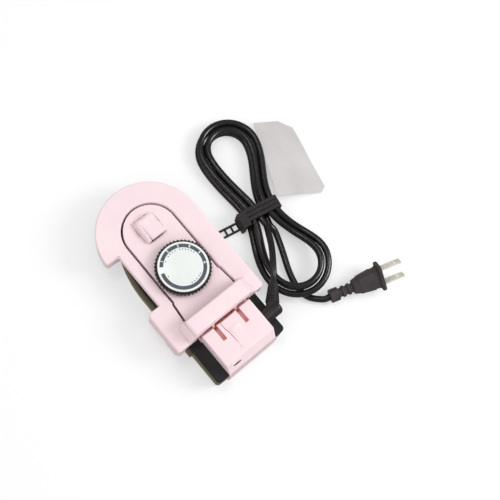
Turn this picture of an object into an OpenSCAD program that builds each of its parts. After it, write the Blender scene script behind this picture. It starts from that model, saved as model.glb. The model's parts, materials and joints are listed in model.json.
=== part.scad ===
// Slim travel iron: ogive soleplate, dial thermostat, fold-up loop handle,
// and a mains lead gathered into a hank by a ladder tie.
// Origin at the centre of the sole's underside, +Y to the tip, +Z up, millimetres.

/* [Sole] */
// Length of the soleplate, heel to tip
sole_len = 152; // [140:1:165]
// Greatest width of the soleplate
sole_w = 68.6; // [66:0.2:70]
// Length of the tapered nose
nose_len = 66; // [56:1:72]
// How full the nose is: small is blunt, large is pointed
nose_power = 0.62; // [0.5:0.02:0.8]
// Length of the narrower heel part
heel_len = 30; // [24:1:36]
// How much narrower the heel is on each side
heel_step = 1.9; // [0.5:0.1:3]
// Height of the polished flank
flank_h = 14; // [12.5:0.5:15]
// Height of the upright edge at the bottom of the flank
edge_h = 2; // [1:0.5:4]
// How far the flank leans in by its top
flank_lean = 1.8; // [0.5:0.1:2.5]
// Thickness of the plate under the heater
plate_t = 5; // [4:0.5:6]
// Thickness of the flank's wall
flank_wall = 3; // [2.5:0.5:5]
// Diameter of the heating tube
heater_d = 6.5; // [5:0.5:7]
// Distance between the two legs of the heating tube
heater_gap = 40; // [32:1:44]

/* [Skirt] */
// Thickness of the black heat skirt
skirt_t = 4; // [3.5:0.5:5]
// How far the skirt stands in from the sole's edge
skirt_in = 2.1; // [1.9:0.1:3]

/* [Body] */
// Height of the body cover above the skirt
cover_h = 9; // [8.5:0.5:10]
// Width of the body cover at its straight part
cover_w = 41.8; // [40:0.2:42.2]
// Place of the cover's round front end
cover_front = 64.4; // [62:0.2:66]
// How much each side of the cover widens toward the bar
cover_flare = 2.3; // [0.5:0.1:2.3]
// Wall thickness of the mouldings
wall = 2; // [1.6:0.1:2.2]
// Height of the rear housing above the skirt
housing_h = 15; // [14:0.5:16]
// Width of the rear housing
housing_w = 45; // [43:0.5:46]
// Thickness of the heel wall that covers the rear of the flank
heel_wall = 1.6; // [1:0.1:2.5]
// Width of each slot beside the latch
slot_w = 3.4; // [3.2:0.1:4]
// Distance of a slot's middle from the centre line
slot_x = 10.6; // [10.4:0.1:10.8]
// Length of the slots behind the housing's front
slot_len = 12.6; // [10:0.2:14]

/* [Handle] */
// Outside width of the loop handle
handle_w = 81.6; // [80:0.2:84]
// How far the loop is shifted toward the right side
handle_shift = -1.2; // [-2:0.1:0]
// Place of the centre of the front arch
arch_y = 43; // [42:0.5:44]
// Thickness of the loop
loop_t = 6.5; // [6:0.1:7]
// Height of the loop's top above the sole
loop_top = 27; // [26.5:0.1:28]
// Depth of the rim round the arch and the right side
rim_drop = 5.5; // [3:0.5:8]
// Depth of the grip block on the left side below the loop
block_drop = 11.5; // [6:0.5:13]
// Thickness of the rim
rim_t = 2.2; // [1.8:0.1:2.4]
// Length of the grip block
block_len = 36.4; // [30:0.2:42]
// Length of the finger notch ahead of the block
notch_len = 47.4; // [40:0.2:50]
// Place of the notch's inner side, left of the centre line
notch_x = 31.2; // [30.5:0.1:32]
// Gap between the loop and the body
loop_gap = 1.5; // [1:0.1:1.6]
// Depth of the bar across the rear, front to back
bar_len = 14.3; // [13.5:0.1:15]
// Height of the bar's top above the sole
bar_top = 40; // [39.5:0.1:42]
// Half of the bar's flat top, side to side
bar_half = 25.5; // [25:0.1:26.5]
// Radius of the bar's top edges
bar_r = 2.5; // [1.5:0.1:3]
// Diameter of the hinge pins
pin_d = 3; // [2.5:0.1:3.2]
// Width of each hinge lug
lug_w = 5.4; // [4.8:0.1:5.6]
// Radius of the hinge lugs' round ends
lug_r = 3; // [2.6:0.1:3.1]
// Angle that the handle swings up
fold_angle = 50; // [40:1:50]

/* [Dial] */
// Diameter of the thermostat dial over its ridges
dial_d = 42.8; // [42:0.2:43.4]
// Height of the dial
dial_h = 6; // [5:0.5:7]
// Number of ridges round the dial
dial_ridges = 46; // [40:2:90]
// Place of the dial's centre
dial_y = 6; // [2:0.5:8]
// Diameter of the printed disc
disc_d = 38.4; // [34:0.2:39]
// Diameter of the dial's spindle
spindle_d = 6; // [5:0.5:7]

/* [Button and latch] */
// Width of the release button at its base
button_w = 17.2; // [15:0.2:18]
// Length of the release button
button_len = 19; // [16:0.5:20]
// Height of the button above the cover
button_h = 5; // [3:0.5:6]
// Travel of the button
button_travel = 2; // [1:0.1:2]
// Width of the latch
latch_w = 11.6; // [11:0.2:12.2]
// Length of the latch
latch_len = 21; // [18:0.5:22]
// Height of the latch above the housing
latch_h = 2; // [1:0.2:3]
// Travel of the latch
latch_travel = 1.5; // [1:0.1:1.8]

/* [Lead] */
// Diameter of the mains lead
cord_d = 5.2; // [4.8:0.1:5.3]
// Least gap between turns of the hank
turn_gap = 0.8; // [0.6:0.1:1]
// Turns in the hank
hank_turns = 3.5; // [2.5:1:4.5]
// Half width of the innermost fold
fold_half = 15.8; // [15.6:0.2:17]
// Length of the innermost fold on the tip side of the tie
far_fold = 72; // [68:1:78]
// Length of the innermost fold on the heel side of the tie
near_fold = 65; // [60:1:67]
// Thickness of the rubber tie
tie_t = 1.5; // [1:0.1:1.6]
// Width of each turn of the tie
tie_w = 3.2; // [3:0.2:5]
// Diameter of the cord boot at the housing
boot_d = 10.8; // [9:0.2:11]
// Distance between the two blades of the plug
blade_gap = 12.7; // [12:0.1:13]

/* [Hidden] */
$fn = 64;

eps = 0.01;
seat_gap = 0.05;      // between pieces that rest on each other through a round face
run_gap = 0.05;       // radial, shaft in hole
slide_gap = 0.35;     // between pieces that slide past each other

boss_d = 8;           // of a screw boss inside the sole
rear_screw_x = heater_gap / 2 + heater_d / 2 + boss_d / 2 + 0.4;
screw_head_h = 1.8;
skirt_plate = 2.2;    // top wall of the skirt

// Levels
skirt_top = flank_h + skirt_t;
cover_top = skirt_top + cover_h;
housing_top = skirt_top + housing_h;
loop_bottom = loop_top - loop_t;
dial_bottom = cover_top + 1;
dial_top = dial_bottom + dial_h;

// Plan
tip_y = sole_len / 2;
heel_y = -sole_len / 2;
sole_half = sole_w / 2;
cover_half = cover_w / 2;
cover_arc_y = cover_front - cover_half;
opening_half = cover_half + loop_gap;
kink_y = -10.4;                    // where the cover starts to widen
bar_rear = -41;
bar_front = bar_rear + bar_len;
hinge_in = 6;
hinge_down = 5;
hinge_y = bar_rear + hinge_in;
hinge_z = bar_top - hinge_down;
saddle_half = cover_half + cover_flare;
saddle_h = 6.5;                    // body under the bar, clear of its sweep
saddle_top = skirt_top + saddle_h;
saddle_front = bar_front - 0.3;
housing_front = bar_rear - 1.4;
housing_half = housing_w / 2;
housing_rear = heel_y + 4.5;       // rear edge of the housing's top
bar_inner = saddle_half + 1.5;     // inside of the legs beside the saddle
bar_clear = 4;
bar_bottom = saddle_top + bar_clear;
ramp_len = 6.5;
ramp_half = bar_half + ramp_len;   // where the bar's ends meet the loop
lug_x = slot_x + slot_w / 2 + 0.9 + lug_w / 2;
button_x = 0.6;
button_y = 46.4;
latch_y = housing_front - 1 - latch_len / 2;
latch_rear = latch_y - latch_len / 2 - latch_travel;

// Colours
pink = [0.96, 0.86, 0.88];
black = [0.11, 0.1, 0.11];
metal = [0.72, 0.72, 0.74];
steel = [0.6, 0.6, 0.62];
white = [0.93, 0.94, 0.93];
ceramic = [0.9, 0.88, 0.82];

function arc(centre, r, from, to, steps) =
    [for (i = [0:steps]) let (a = from + (to - from) * i / steps)
        [centre[0] + r * cos(a), centre[1] + r * sin(a)]];
function smooth(s) = let (c = min(1, max(0, s))) c * c * (3 - 2 * c);
function mirrored(points) = [for (i = [len(points) - 1:-1:0]) [-points[i][0], points[i][1]]];

// ---- sole and skirt -------------------------------------------------------

// Half width of the nose at t, from 0 at its root to 1 at the tip
function nose_half(half, t) = half * pow(max(0, 1 - t * t), nose_power);

// Right half of the front outline, root to tip, standing in by inset
function nose_side(inset) = let (root = tip_y - nose_len, reach = nose_len - 1.4 * inset)
    [for (i = [0:20]) let (t = sin(90 * i / 20)) [nose_half(sole_half - inset, t), root + reach * t]];

module front_outline(inset) {
    side = nose_side(inset);
    rear = heel_y + heel_len;
    polygon(concat([[sole_half - inset, rear]], side, mirrored(side), [[inset - sole_half, rear]]));
}

module heel_outline(inset) {
    half = sole_half - heel_step - inset;
    rear = heel_y + inset * 0.7;
    r = 3;
    polygon(concat(arc([half - r, rear + r], r, -90, 0, 6), [[half, heel_y + heel_len + 4]],
                   [[-half, heel_y + heel_len + 4]], arc([r - half, rear + r], r, 180, 270, 6)));
}

module sole_outline(inset) {
    front_outline(inset);
    heel_outline(inset);
}

// Flank that leans in from the upright edge to the top
module flank(thin = 0.02) {
    hull() {
        translate([0, 0, edge_h]) linear_extrude(thin) front_outline(0);
        translate([0, 0, flank_h - thin]) linear_extrude(thin) front_outline(flank_lean);
    }
    hull() {
        translate([0, 0, edge_h]) linear_extrude(thin) heel_outline(0);
        translate([0, 0, flank_h - thin]) linear_extrude(thin) heel_outline(flank_lean * 0.2);
    }
}

tip_screw_in = 20;
heel_screw_in = 40;
sole_screw_at = [[0, tip_y - tip_screw_in], [-rear_screw_x, heel_y + heel_screw_in],
                 [rear_screw_x, heel_y + heel_screw_in]];
screw_d = 4;
screw_head_d = 6.8;

module soleplate() {
    color(metal) difference() {
        union() {
            difference() {
                union() {
                    linear_extrude(edge_h) sole_outline(0);
                    flank();
                }
                translate([0, 0, plate_t]) linear_extrude(flank_h) sole_outline(flank_lean + flank_wall);
            }
            for (at = sole_screw_at) translate([at[0], at[1], plate_t - eps])
                cylinder(d = boss_d, h = flank_h - plate_t + eps);
        }
        for (at = sole_screw_at) translate([at[0], at[1], plate_t])
            cylinder(d = screw_d, h = flank_h);
    }
}

heater_z = plate_t + heater_d / 2 + seat_gap;
heater_heel = 20;
heater_nose = 50;
heater_rear = heel_y + heater_heel;
heater_arc_y = tip_y - heater_nose;
cold_pin_d = 3;
cold_pin_len = 7;
bead_len = 3;

// A U of heating tube that lies on the plate
module heating_element() {
    color(steel) {
        translate([0, heater_arc_y, heater_z]) rotate_extrude(angle = 180)
            translate([heater_gap / 2, 0]) circle(d = heater_d);
        for (x = [-1, 1]) translate([x * heater_gap / 2, heater_rear, heater_z]) rotate([-90, 0, 0])
            cylinder(d = heater_d, h = heater_arc_y - heater_rear);
        for (x = [-1, 1]) translate([x * heater_gap / 2, heater_rear - cold_pin_len, heater_z])
            rotate([-90, 0, 0]) cylinder(d = cold_pin_d, h = cold_pin_len + eps);
    }
}

// Ceramic beads where the cold pins leave the tube
module heater_beads() {
    bead_rear = heater_rear - bead_len - seat_gap;
    color(ceramic) for (x = [-1, 1]) translate([x * heater_gap / 2, bead_rear, heater_z])
        rotate([-90, 0, 0]) difference() {
            cylinder(d = heater_d - 0.5, h = bead_len);
            translate([0, 0, -1]) cylinder(d = cold_pin_d + 2 * run_gap, h = bead_len + 2);
        }
}

module heat_skirt() {
    color(black) difference() {
        translate([0, 0, flank_h]) linear_extrude(skirt_t) {
            front_outline(skirt_in);
            heel_outline(heel_step > skirt_in ? 0.2 : skirt_in - heel_step);
        }
        translate([0, 0, flank_h - 1]) linear_extrude(skirt_t - skirt_plate + 1)
            sole_outline(flank_lean + flank_wall + 1.2);
        translate([0, dial_y, flank_h - 1]) cylinder(d = spindle_d + 5, h = skirt_t + 2);
        for (at = sole_screw_at) translate([at[0], at[1], flank_h - 1])
            cylinder(d = screw_d + 0.6, h = skirt_t + 2);
        for (at = sole_screw_at) translate([at[0], at[1], skirt_top - screw_head_h])
            cylinder(d = screw_head_d + 0.4, h = skirt_t);
        for (at = concat(cover_screw_at, rear_post_at)) translate([at[0], at[1], flank_h - 1])
            cylinder(d = post_screw_d + 0.3, h = skirt_t + 2);
        translate([terminal_x - wire_hole / 2, wire_y - 3, flank_h - 1]) cube([wire_hole, 6, skirt_t + 2]);
    }
    // Spacers round the screws, down to the bosses
    color(black) for (at = sole_screw_at) translate([at[0], at[1], flank_h]) difference() {
        cylinder(d = screw_head_d + 2, h = skirt_t - screw_head_h);
        translate([0, 0, -1]) cylinder(d = screw_d + 0.6, h = skirt_t);
    }
}

module sole_screws() {
    color(steel) for (at = sole_screw_at) translate([at[0], at[1], 0]) {
        translate([0, 0, plate_t + 1]) cylinder(d = screw_d - 2 * run_gap, h = skirt_top - plate_t - 2);
        translate([0, 0, skirt_top - screw_head_h]) difference() {
            cylinder(d = screw_head_d, h = screw_head_h);
            for (turn = [0, 90]) rotate(turn) translate([-screw_d / 2, -0.4, screw_head_h - 0.9])
                cube([screw_d, 0.8, 1]);
        }
    }
}

// ---- thermostat -------------------------------------------------------------

base_w = 14;
base_len = 30;
base_t = 1.2;
base_rear = 6;         // distance from the contact stack back to the base's end
base_hole_d = 3.2;
base_hole_y = 10;
bridge_len = 10;
bridge_leg = 1.6;
bridge_t = 1.4;
bridge_rise = 6;       // height of the bridge above the base
strip_w = 7;
strip_len = 22;
strip_t = 0.9;
strip_rear = 3;
stack_d = 9;
stack_rear = 11;       // distance from the spindle back to the contact stack

module thermostat_base() {
    color(steel) difference() {
        translate([-base_w / 2, dial_y - stack_rear - base_rear, plate_t]) cube([base_w, base_len, base_t]);
        translate([0, dial_y + base_hole_y, plate_t - 1]) cylinder(d = base_hole_d, h = base_t + 2);
    }
    // Bridge over the strip that the spindle turns in
    color(steel) difference() {
        union() {
            for (side = [-1, 1])
                translate([(side * (base_w - bridge_leg) - bridge_leg) / 2, dial_y - bridge_len / 2,
                           plate_t + base_t - eps])
                    cube([bridge_leg, bridge_len, bridge_rise + 2 * eps]);
            translate([-base_w / 2, dial_y - bridge_len / 2, bridge_z]) cube([base_w, bridge_len, bridge_t]);
            translate([0, dial_y, bridge_z]) cylinder(d = spindle_d + 1.6, h = bridge_boss);
        }
        translate([0, dial_y, bridge_z - 1]) cylinder(d = spindle_d - 2 + 2 * run_gap, h = 5);
    }
}

bridge_z = plate_t + base_t + bridge_rise;
bridge_boss = 2.6;     // height of the boss that the spindle turns in

module bimetal_strip() {
    color("goldenrod") translate([-strip_w / 2, dial_y - stack_rear - strip_rear, plate_t + base_t + 1])
        cube([strip_w, strip_len, strip_t]);
}

module thermostat_stack() {
    color(ceramic) {
        translate([0, dial_y - stack_rear, plate_t + base_t]) cylinder(d = stack_d, h = 1);
        translate([0, dial_y - stack_rear, plate_t + base_t + 1 + strip_t]) cylinder(d = stack_d, h = 5);
    }
}

fuse_d = 4;
fuse_y = heel_y + heel_screw_in;

module thermal_fuse() {
    color("silver") translate([-6, fuse_y, plate_t + fuse_d / 2 + seat_gap]) rotate([0, 90, 0]) {
        cylinder(d = fuse_d, h = 12);
        translate([0, 0, -3]) cylinder(d = 1, h = 18);
    }
}

module fuse_clip() {
    inner = fuse_d / 2 + run_gap;
    color(steel) difference() {
        union() {
            translate([-2.5, fuse_y, plate_t + fuse_d / 2 + seat_gap]) rotate([0, 90, 0])
                cylinder(r = inner + 0.8, h = 5);
            translate([-2.5, fuse_y - inner - 0.8, plate_t]) cube([5, 2 * inner + 1.6, fuse_d / 2]);
            translate([-2.5, fuse_y, plate_t]) cube([5, 9, 0.8]);
        }
        translate([-3, fuse_y, plate_t + fuse_d / 2 + seat_gap]) rotate([0, 90, 0]) cylinder(r = inner, h = 6);
        translate([-3, fuse_y - inner, plate_t - 1]) cube([6, 2 * inner, fuse_d / 2 + 1]);
    }
}

// ---- body -----------------------------------------------------------------

// Body cover's outline, standing in by inset
module cover_outline(inset) {
    half = cover_half - inset;
    wide = saddle_half - inset;
    side = [[wide, saddle_front + 0.3 + inset], [half + 0.9, kink_y - 1], [half + 0.9, kink_y],
            [half, kink_y + 1.2]];
    polygon(concat(side, arc([0, cover_arc_y], half, 0, 180, 40), mirrored(side)));
}

button_clear_w = button_w + 2 * slide_gap;
button_clear_len = button_len + 2 * slide_gap;
dish_half = 12.5;      // radius of the dish at the cover's top
dish_depth = 1.6;
dish_shift = 1.5;      // of the dish's centre, toward the tip and the left
dish_r = (dish_half * dish_half + dish_depth * dish_depth) / (2 * dish_depth);
post_d = 6;
cover_screw_at = [[-cover_half + 6, 28], [cover_half - 6, 28]];

module body_cover() {
    color(pink) difference() {
        translate([0, 0, skirt_top]) union() {
            difference() {
                linear_extrude(cover_h) cover_outline(0);
                translate([0, 0, -eps]) linear_extrude(cover_h - wall) cover_outline(wall);
            }
            for (at = cover_screw_at) translate([at[0], at[1], 0])
                cylinder(d = post_d, h = cover_h - wall + eps);
        }
        // Hole for the spindle and the seat under the dial
        translate([0, dial_y, skirt_top]) cylinder(d = spindle_d + 2 * run_gap + 0.3, h = cover_h + 1);
        // Dished finger recess round the front of the button
        translate([button_x - dish_shift, button_y + dish_shift, cover_top + dish_r - dish_depth])
            sphere(r = dish_r, $fn = 96);
        // Well that the button slides in
        translate([button_x - button_clear_w / 2, button_y - button_clear_len / 2, skirt_top + 1])
            cube([button_clear_w, button_clear_len, cover_h + 1]);
        for (at = cover_screw_at) translate([at[0], at[1], skirt_top - 1]) cylinder(d = 2.5, h = 6.5);
    }
}

post_screw_d = 2.4;
rear_post_at = [[-housing_half + 5.6, heel_y + 6.8], [housing_half - 5.6, heel_y + 6.8]];

// Screws that come up through the skirt into the posts of the cover and the housing
module housing_screws() {
    color(steel) for (at = concat(cover_screw_at, rear_post_at)) translate([at[0], at[1], 0]) {
        translate([0, 0, skirt_top - skirt_plate - 1.3]) cylinder(d = 4.4, h = 1.3);
        translate([0, 0, skirt_top - skirt_plate - eps]) cylinder(d = post_screw_d, h = 6.5);
    }
}

// Side view of the housing, front to rear, as [y, z]
function housing_side(inset) = let (top = housing_top - inset, rear = housing_rear + inset,
                                    low = skirt_top - (inset > 0 ? 1 : 0))
    concat([[housing_front - inset, low], [housing_front - inset, top - 1]],
           [[housing_front - inset - 1, top]],
           arc([rear + 2.5, top - 2.5], 2.5, 90, 165, 6),
           [[heel_y - 0.4 + inset, low]]);

module side_extrude(width) {
    rotate([90, 0, 90]) translate([0, 0, -width / 2]) linear_extrude(width) children();
}

slot_front = hinge_y + 2;
slot_floor = skirt_top + 3.4;
pocket_depth = 7.4;
pocket_wall = 1.2;
pocket_floor = housing_top - pocket_depth;

module rear_housing() {
    color(pink) difference() {
        union() {
            difference() {
                union() {
                    side_extrude(housing_w) polygon(housing_side(0));
                    // Heel that runs down behind the skirt and the flank
                    translate([-housing_half, heel_y - heel_wall - seat_gap, 1])
                        cube([housing_w, heel_wall, skirt_top]);
                    translate([-housing_half, heel_y - heel_wall - seat_gap, skirt_top])
                        cube([housing_w, heel_wall + 1.5, 1.2]);
                }
                side_extrude(housing_w - 2 * wall) polygon(housing_side(wall));
            }
            // Low saddle under the bar
            translate([-saddle_half, housing_front - wall, skirt_top])
                cube([2 * saddle_half, saddle_front - housing_front + wall, saddle_top - skirt_top]);
            // Hinge lugs
            for (x = [-lug_x, lug_x]) translate([x - lug_w / 2, 0, 0]) {
                translate([0, hinge_y, hinge_z]) rotate([0, 90, 0]) cylinder(r = lug_r, h = lug_w);
                translate([0, hinge_y - lug_r, saddle_top - eps])
                    cube([lug_w, 2 * lug_r, hinge_z - saddle_top]);
            }
            // Pockets below the slots
            for (x = [-slot_x, slot_x])
                translate([x - slot_w / 2 - pocket_wall, housing_front - slot_len - pocket_wall,
                           pocket_floor - pocket_wall])
                    cube([slot_w + 2 * pocket_wall, slot_len, pocket_depth]);
            // Guide well of the latch
            translate([-latch_w / 2 - slide_gap - 1.2, latch_rear - slide_gap - 1.2, latch_floor])
                cube([latch_w + 2 * slide_gap + 2.4, housing_front - latch_rear + slide_gap + 1.2,
                      housing_top - latch_floor - 1]);
            for (at = rear_post_at) translate([at[0], at[1], skirt_top])
                cylinder(d = post_d, h = housing_h - 1);
        }
        // Slots beside the latch, deeper in front for the stop arms
        for (x = [-slot_x, slot_x]) translate([x - slot_w / 2, 0, 0]) {
            translate([0, housing_front - slot_len, pocket_floor]) cube([slot_w, slot_len, housing_h]);
            translate([0, housing_front - wall, slot_floor])
                cube([slot_w, slot_front - housing_front + wall, housing_h]);
        }
        translate([-latch_w / 2 - slide_gap, latch_rear - slide_gap, latch_floor + 1.2])
            cube([latch_w + 2 * slide_gap, latch_len + latch_travel + 2 * slide_gap, housing_h]);
        // Hinge pin holes
        for (x = [-lug_x, lug_x]) translate([x - lug_w, hinge_y, hinge_z]) rotate([0, 90, 0])
            cylinder(d = pin_d + 0.04, h = 2 * lug_w);
        // Cord entry
        translate([housing_half - wall - 1, boot_y, boot_z]) rotate([0, 90, 0])
            cylinder(d = boot_neck_d + 2 * run_gap, h = wall + 2);
        // Slit in the rear wall
        translate([-17, housing_rear - 8, slit_z]) cube([6.8, 8, 1.6]);
        for (at = rear_post_at) translate([at[0], at[1], skirt_top - 1]) cylinder(d = 2.5, h = 6.5);
    }
}

slit_z = skirt_top + 8;
latch_floor = housing_top - 6;

module hinge_pins() {
    inner = lug_x - lug_w / 2 - 0.6 - 0.9;
    outer = lug_x + lug_w / 2 + 3.2;
    color(steel) for (side = [-1, 1]) translate([side > 0 ? inner : -outer, hinge_y, hinge_z])
        rotate([0, 90, 0]) cylinder(d = pin_d, h = outer - inner);
}

// ---- wiring inside the rear housing ------------------------------------------

wire_hole = 22;
wire_in = 15;          // distance of the wires from the heel
wire_d = 1.8;
terminal_w = 22;
terminal_len = 9;
terminal_h = 6;
terminal_gap = 4.6;    // behind the saddle
terminal_pitch = 7;
terminal_screw_d = 3;
terminal_screw_len = 3.4;
terminal_x = -3;       // left of the middle, clear of the cord clamp
terminal_y = housing_front - wall - terminal_gap - terminal_len / 2;
terminal_rear = terminal_y - terminal_len / 2;
wire_y = min(heel_y + wire_in, terminal_rear - wire_d);
terminal_screw_z = skirt_top + 2;
screw_slot = 0.5;

module each_terminal() {
    for (i = [-1:1]) translate([terminal_x + i * terminal_pitch, terminal_y, terminal_screw_z]) children();
}

module terminal_block() {
    color(ceramic) difference() {
        translate([terminal_x - terminal_w / 2, terminal_rear, skirt_top])
            cube([terminal_w, terminal_len, terminal_h]);
        each_terminal() cylinder(d = terminal_screw_d, h = terminal_h);
    }
}

module terminal_screws() {
    color("gold") each_terminal() difference() {
        cylinder(d = terminal_screw_d - 2 * run_gap, h = terminal_screw_len);
        translate([-terminal_screw_d * 0.4, -screw_slot / 2, terminal_screw_len - 0.6])
            cube([terminal_screw_d * 0.8, screw_slot, 1]);
    }
}

// One wire from the terminal block down to the heater
module wire_drop(x_top, x_low) {
    top_z = skirt_top + terminal_h * 0.43;
    translate([x_top, wire_y, heater_z]) cylinder(d = wire_d, h = top_z - heater_z);
    translate([x_top, wire_y, top_z]) sphere(d = wire_d);
    translate([x_top, wire_y, top_z]) rotate([-90, 0, 0]) cylinder(d = wire_d, h = terminal_rear - wire_y);
    translate([x_top, wire_y, heater_z]) sphere(d = wire_d);
    translate([min(x_top, x_low), wire_y, heater_z]) rotate([0, 90, 0])
        cylinder(d = wire_d, h = abs(x_top - x_low));
}

module inner_wires() {
    reach = heater_gap / 2 - cold_pin_d / 2 - 0.1;
    color("white") wire_drop(terminal_x - terminal_pitch, -reach);
    color("white") wire_drop(terminal_x + terminal_pitch, reach);
}

boot_y = -60;
boot_rise = 6;
boot_z = skirt_top + boot_rise;
boot_neck_d = 7;
clamp_x = 15.8;
clamp_t = 4;
clamp_len = 12.4;
clamp_screw_y = 4.6;
clamp_screw_d = 1.8;

module cord_clamp() {
    color(black) difference() {
        translate([clamp_x - clamp_t / 2, boot_y - clamp_len / 2, skirt_top])
            cube([clamp_t, clamp_len, boot_rise + cord_d / 2 + 1.5]);
        translate([clamp_x - clamp_t, boot_y, boot_z]) rotate([0, 90, 0])
            cylinder(d = cord_d + 2 * run_gap, h = 2 * clamp_t);
        for (y = [-clamp_screw_y, clamp_screw_y]) translate([clamp_x, boot_y + y, skirt_top + clamp_t])
            cylinder(d = clamp_screw_d, h = 12);
    }
}

// ---- handle ---------------------------------------------------------------

loop_half = handle_w / 2;
loop_right = loop_half + handle_shift;
loop_left = loop_half - handle_shift;
far_out = handle_w;                // farther out than the loop anywhere
block_front = bar_rear + block_len;
notch_front = block_front + notch_len;

// Outer outline of the loop, anticlockwise from its right rear corner
function loop_outer(inset) = let (right = loop_right - inset, left = -loop_left + inset,
                                  rear = bar_rear + inset, leg = -notch_x + inset, c = 2.5,
                                  arch = loop_half - inset, corner = notch_front + 1.6 + inset,
                                  past = max(0, corner - arch_y), lost = arch - sqrt(arch * arch - past * past))
    concat(arc([right - c, rear + c], c, -90, 0, 5),
           arc([handle_shift, arch_y], arch, 0, 180 - asin(past / arch) - 0.5, 44),
           arc([left + lost + 2, corner], 1.6, 180, 250, 4),
           [[leg - 3, notch_front + inset]],
           arc([leg - 2, notch_front - 2 + inset], 2, 90, 0, 4),
           [[leg, block_front - inset]],
           arc([left + 3, block_front - 3 - inset], 3, 90, 180, 5),
           arc([left + 2, rear + 2], 2, 180, 270, 4));

// Opening that the body stands in, as deep as the rear of the bar
module loop_opening(outset) {
    half = opening_half + outset;
    wide = bar_inner + outset;
    side = [[wide, bar_rear - 5], [wide, bar_front], [half + 0.9, kink_y - 1], [half + 0.9, kink_y],
            [half, kink_y + 1.2]];
    polygon(concat(side, arc([0, cover_arc_y], half, 0, 180, 40), mirrored(side)));
}

// Bar's front view: flat top with ramped ends, open over the saddle
function bar_ramp() = [for (i = [0:8]) let (s = i / 8)
    [ramp_half - (ramp_half - bar_half) * s, loop_top + (bar_top - loop_top) * (1 - cos(180 * s)) / 2]];

module bar_front_view() {
    ramp = bar_ramp();
    polygon(concat([[bar_inner, bar_bottom], [bar_inner, loop_bottom], [ramp_half, loop_bottom]],
                   ramp, mirrored(ramp),
                   [[-ramp_half, loop_bottom], [-bar_inner, loop_bottom], [-bar_inner, bar_bottom]]));
}

// Bar's side view with rounded top edges
module bar_side_view() {
    polygon(concat([[bar_front, loop_bottom], [bar_front, bar_top - bar_r]],
                   arc([bar_front - bar_r, bar_top - bar_r], bar_r, 0, 90, 6),
                   arc([bar_rear + bar_r, bar_top - bar_r], bar_r, 90, 180, 6),
                   [[bar_rear, loop_bottom]]));
}

pocket_r = lug_r + 0.4;
lug_side_gap = 0.3;
pin_hole_in = slot_x + slot_w / 2 - 0.9;
pin_hole_out = lug_x + lug_w / 2 + 4;

// Room for a lug while the bar turns about the pins, as [y, z] from the hinge axis
module pocket_view() {
    turn = fold_angle;
    far = 30;
    circle(r = pocket_r);
    polygon([[pocket_r, 0], [pocket_r, -far], [-far, -far],
             [-pocket_r * cos(turn) - far * sin(turn), pocket_r * sin(turn) - far * cos(turn)],
             [-pocket_r * cos(turn), pocket_r * sin(turn)]]);
}

arm_w = slot_w - 1;
arm_reach = 2.2;                   // how far the stop arms stand out behind the bar

module handle_frame() {
    color(pink) difference() {
        union() {
            // Loop: top plate with walls
            difference() {
                translate([0, 0, loop_bottom]) linear_extrude(loop_t) difference() {
                    polygon(loop_outer(0));
                    loop_opening(0);
                }
                translate([0, 0, loop_bottom - eps]) linear_extrude(loop_t - rim_t) difference() {
                    polygon(loop_outer(rim_t));
                    loop_opening(rim_t);
                    translate([-far_out, bar_rear - 5]) square([2 * far_out, bar_len + 5 + rim_t]);
                }
            }
            // Rim below the arch and the right side
            translate([0, 0, loop_bottom - rim_drop]) linear_extrude(rim_drop + eps) difference() {
                polygon(loop_outer(0));
                polygon(loop_outer(rim_t));
                translate([-far_out, bar_rear - 1])
                    square([far_out + block_inner, notch_front + 0.6 - bar_rear]);
            }
            // Grip block, open below
            translate([0, 0, loop_bottom - block_drop]) linear_extrude(block_drop + eps) difference() {
                intersection() {
                    polygon(loop_outer(0));
                    translate([-far_out, bar_rear - 1]) square([far_out - block_inner, block_len + 1]);
                }
                intersection() {
                    polygon(loop_outer(rim_t));
                    translate([-far_out, bar_rear - 1])
                        square([far_out - block_inner - rim_t, block_len + 1]);
                }
            }
            // Bar across the rear
            intersection() {
                rotate([90, 0, 0]) translate([0, 0, -far_out])
                    linear_extrude(2 * far_out) bar_front_view();
                side_extrude(2 * far_out) bar_side_view();
            }
            // Stop arms that dip into the slots
            for (x = [-slot_x, slot_x]) translate([x, 0, 0]) side_extrude(arm_w)
                polygon([[bar_rear + 5, bar_bottom + 3], [bar_rear + 5, bar_bottom],
                         [bar_rear - arm_reach + 0.6, bar_bottom - 0.5], [bar_rear - arm_reach, bar_bottom + 1],
                         [bar_rear, bar_bottom + 4]]);
        }
        // Pockets and pin holes of the hinge
        for (x = [-lug_x, lug_x]) translate([x, hinge_y, hinge_z])
            side_extrude(lug_w + 2 * lug_side_gap) pocket_view();
        for (side = [-1, 1]) translate([side > 0 ? pin_hole_in : -pin_hole_out, hinge_y, hinge_z])
            rotate([0, 90, 0]) cylinder(d = pin_d + 2 * run_gap, h = pin_hole_out - pin_hole_in);
    }
    // Screw posts for the underside plate
    color(pink) for (at = handle_screw_at) translate([at[0], at[1], loop_bottom + cover_plate_t]) difference() {
        cylinder(d = 4.6, h = loop_t - rim_t - cover_plate_t + eps);
        translate([0, 0, -1]) cylinder(d = 2.1, h = 4);
    }
}

block_inner = sole_half + 0.9;     // inner side of the block, clear of the sole
cover_plate_t = 1.6;
side_mid = (opening_half + loop_right) / 2;
leg_mid = -(opening_half + notch_x) / 2;
handle_screw_at = [[side_mid, -8], [side_mid, 34], [leg_mid, 20],
                   [handle_shift, arch_y + (loop_half + opening_half) / 2]];

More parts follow.
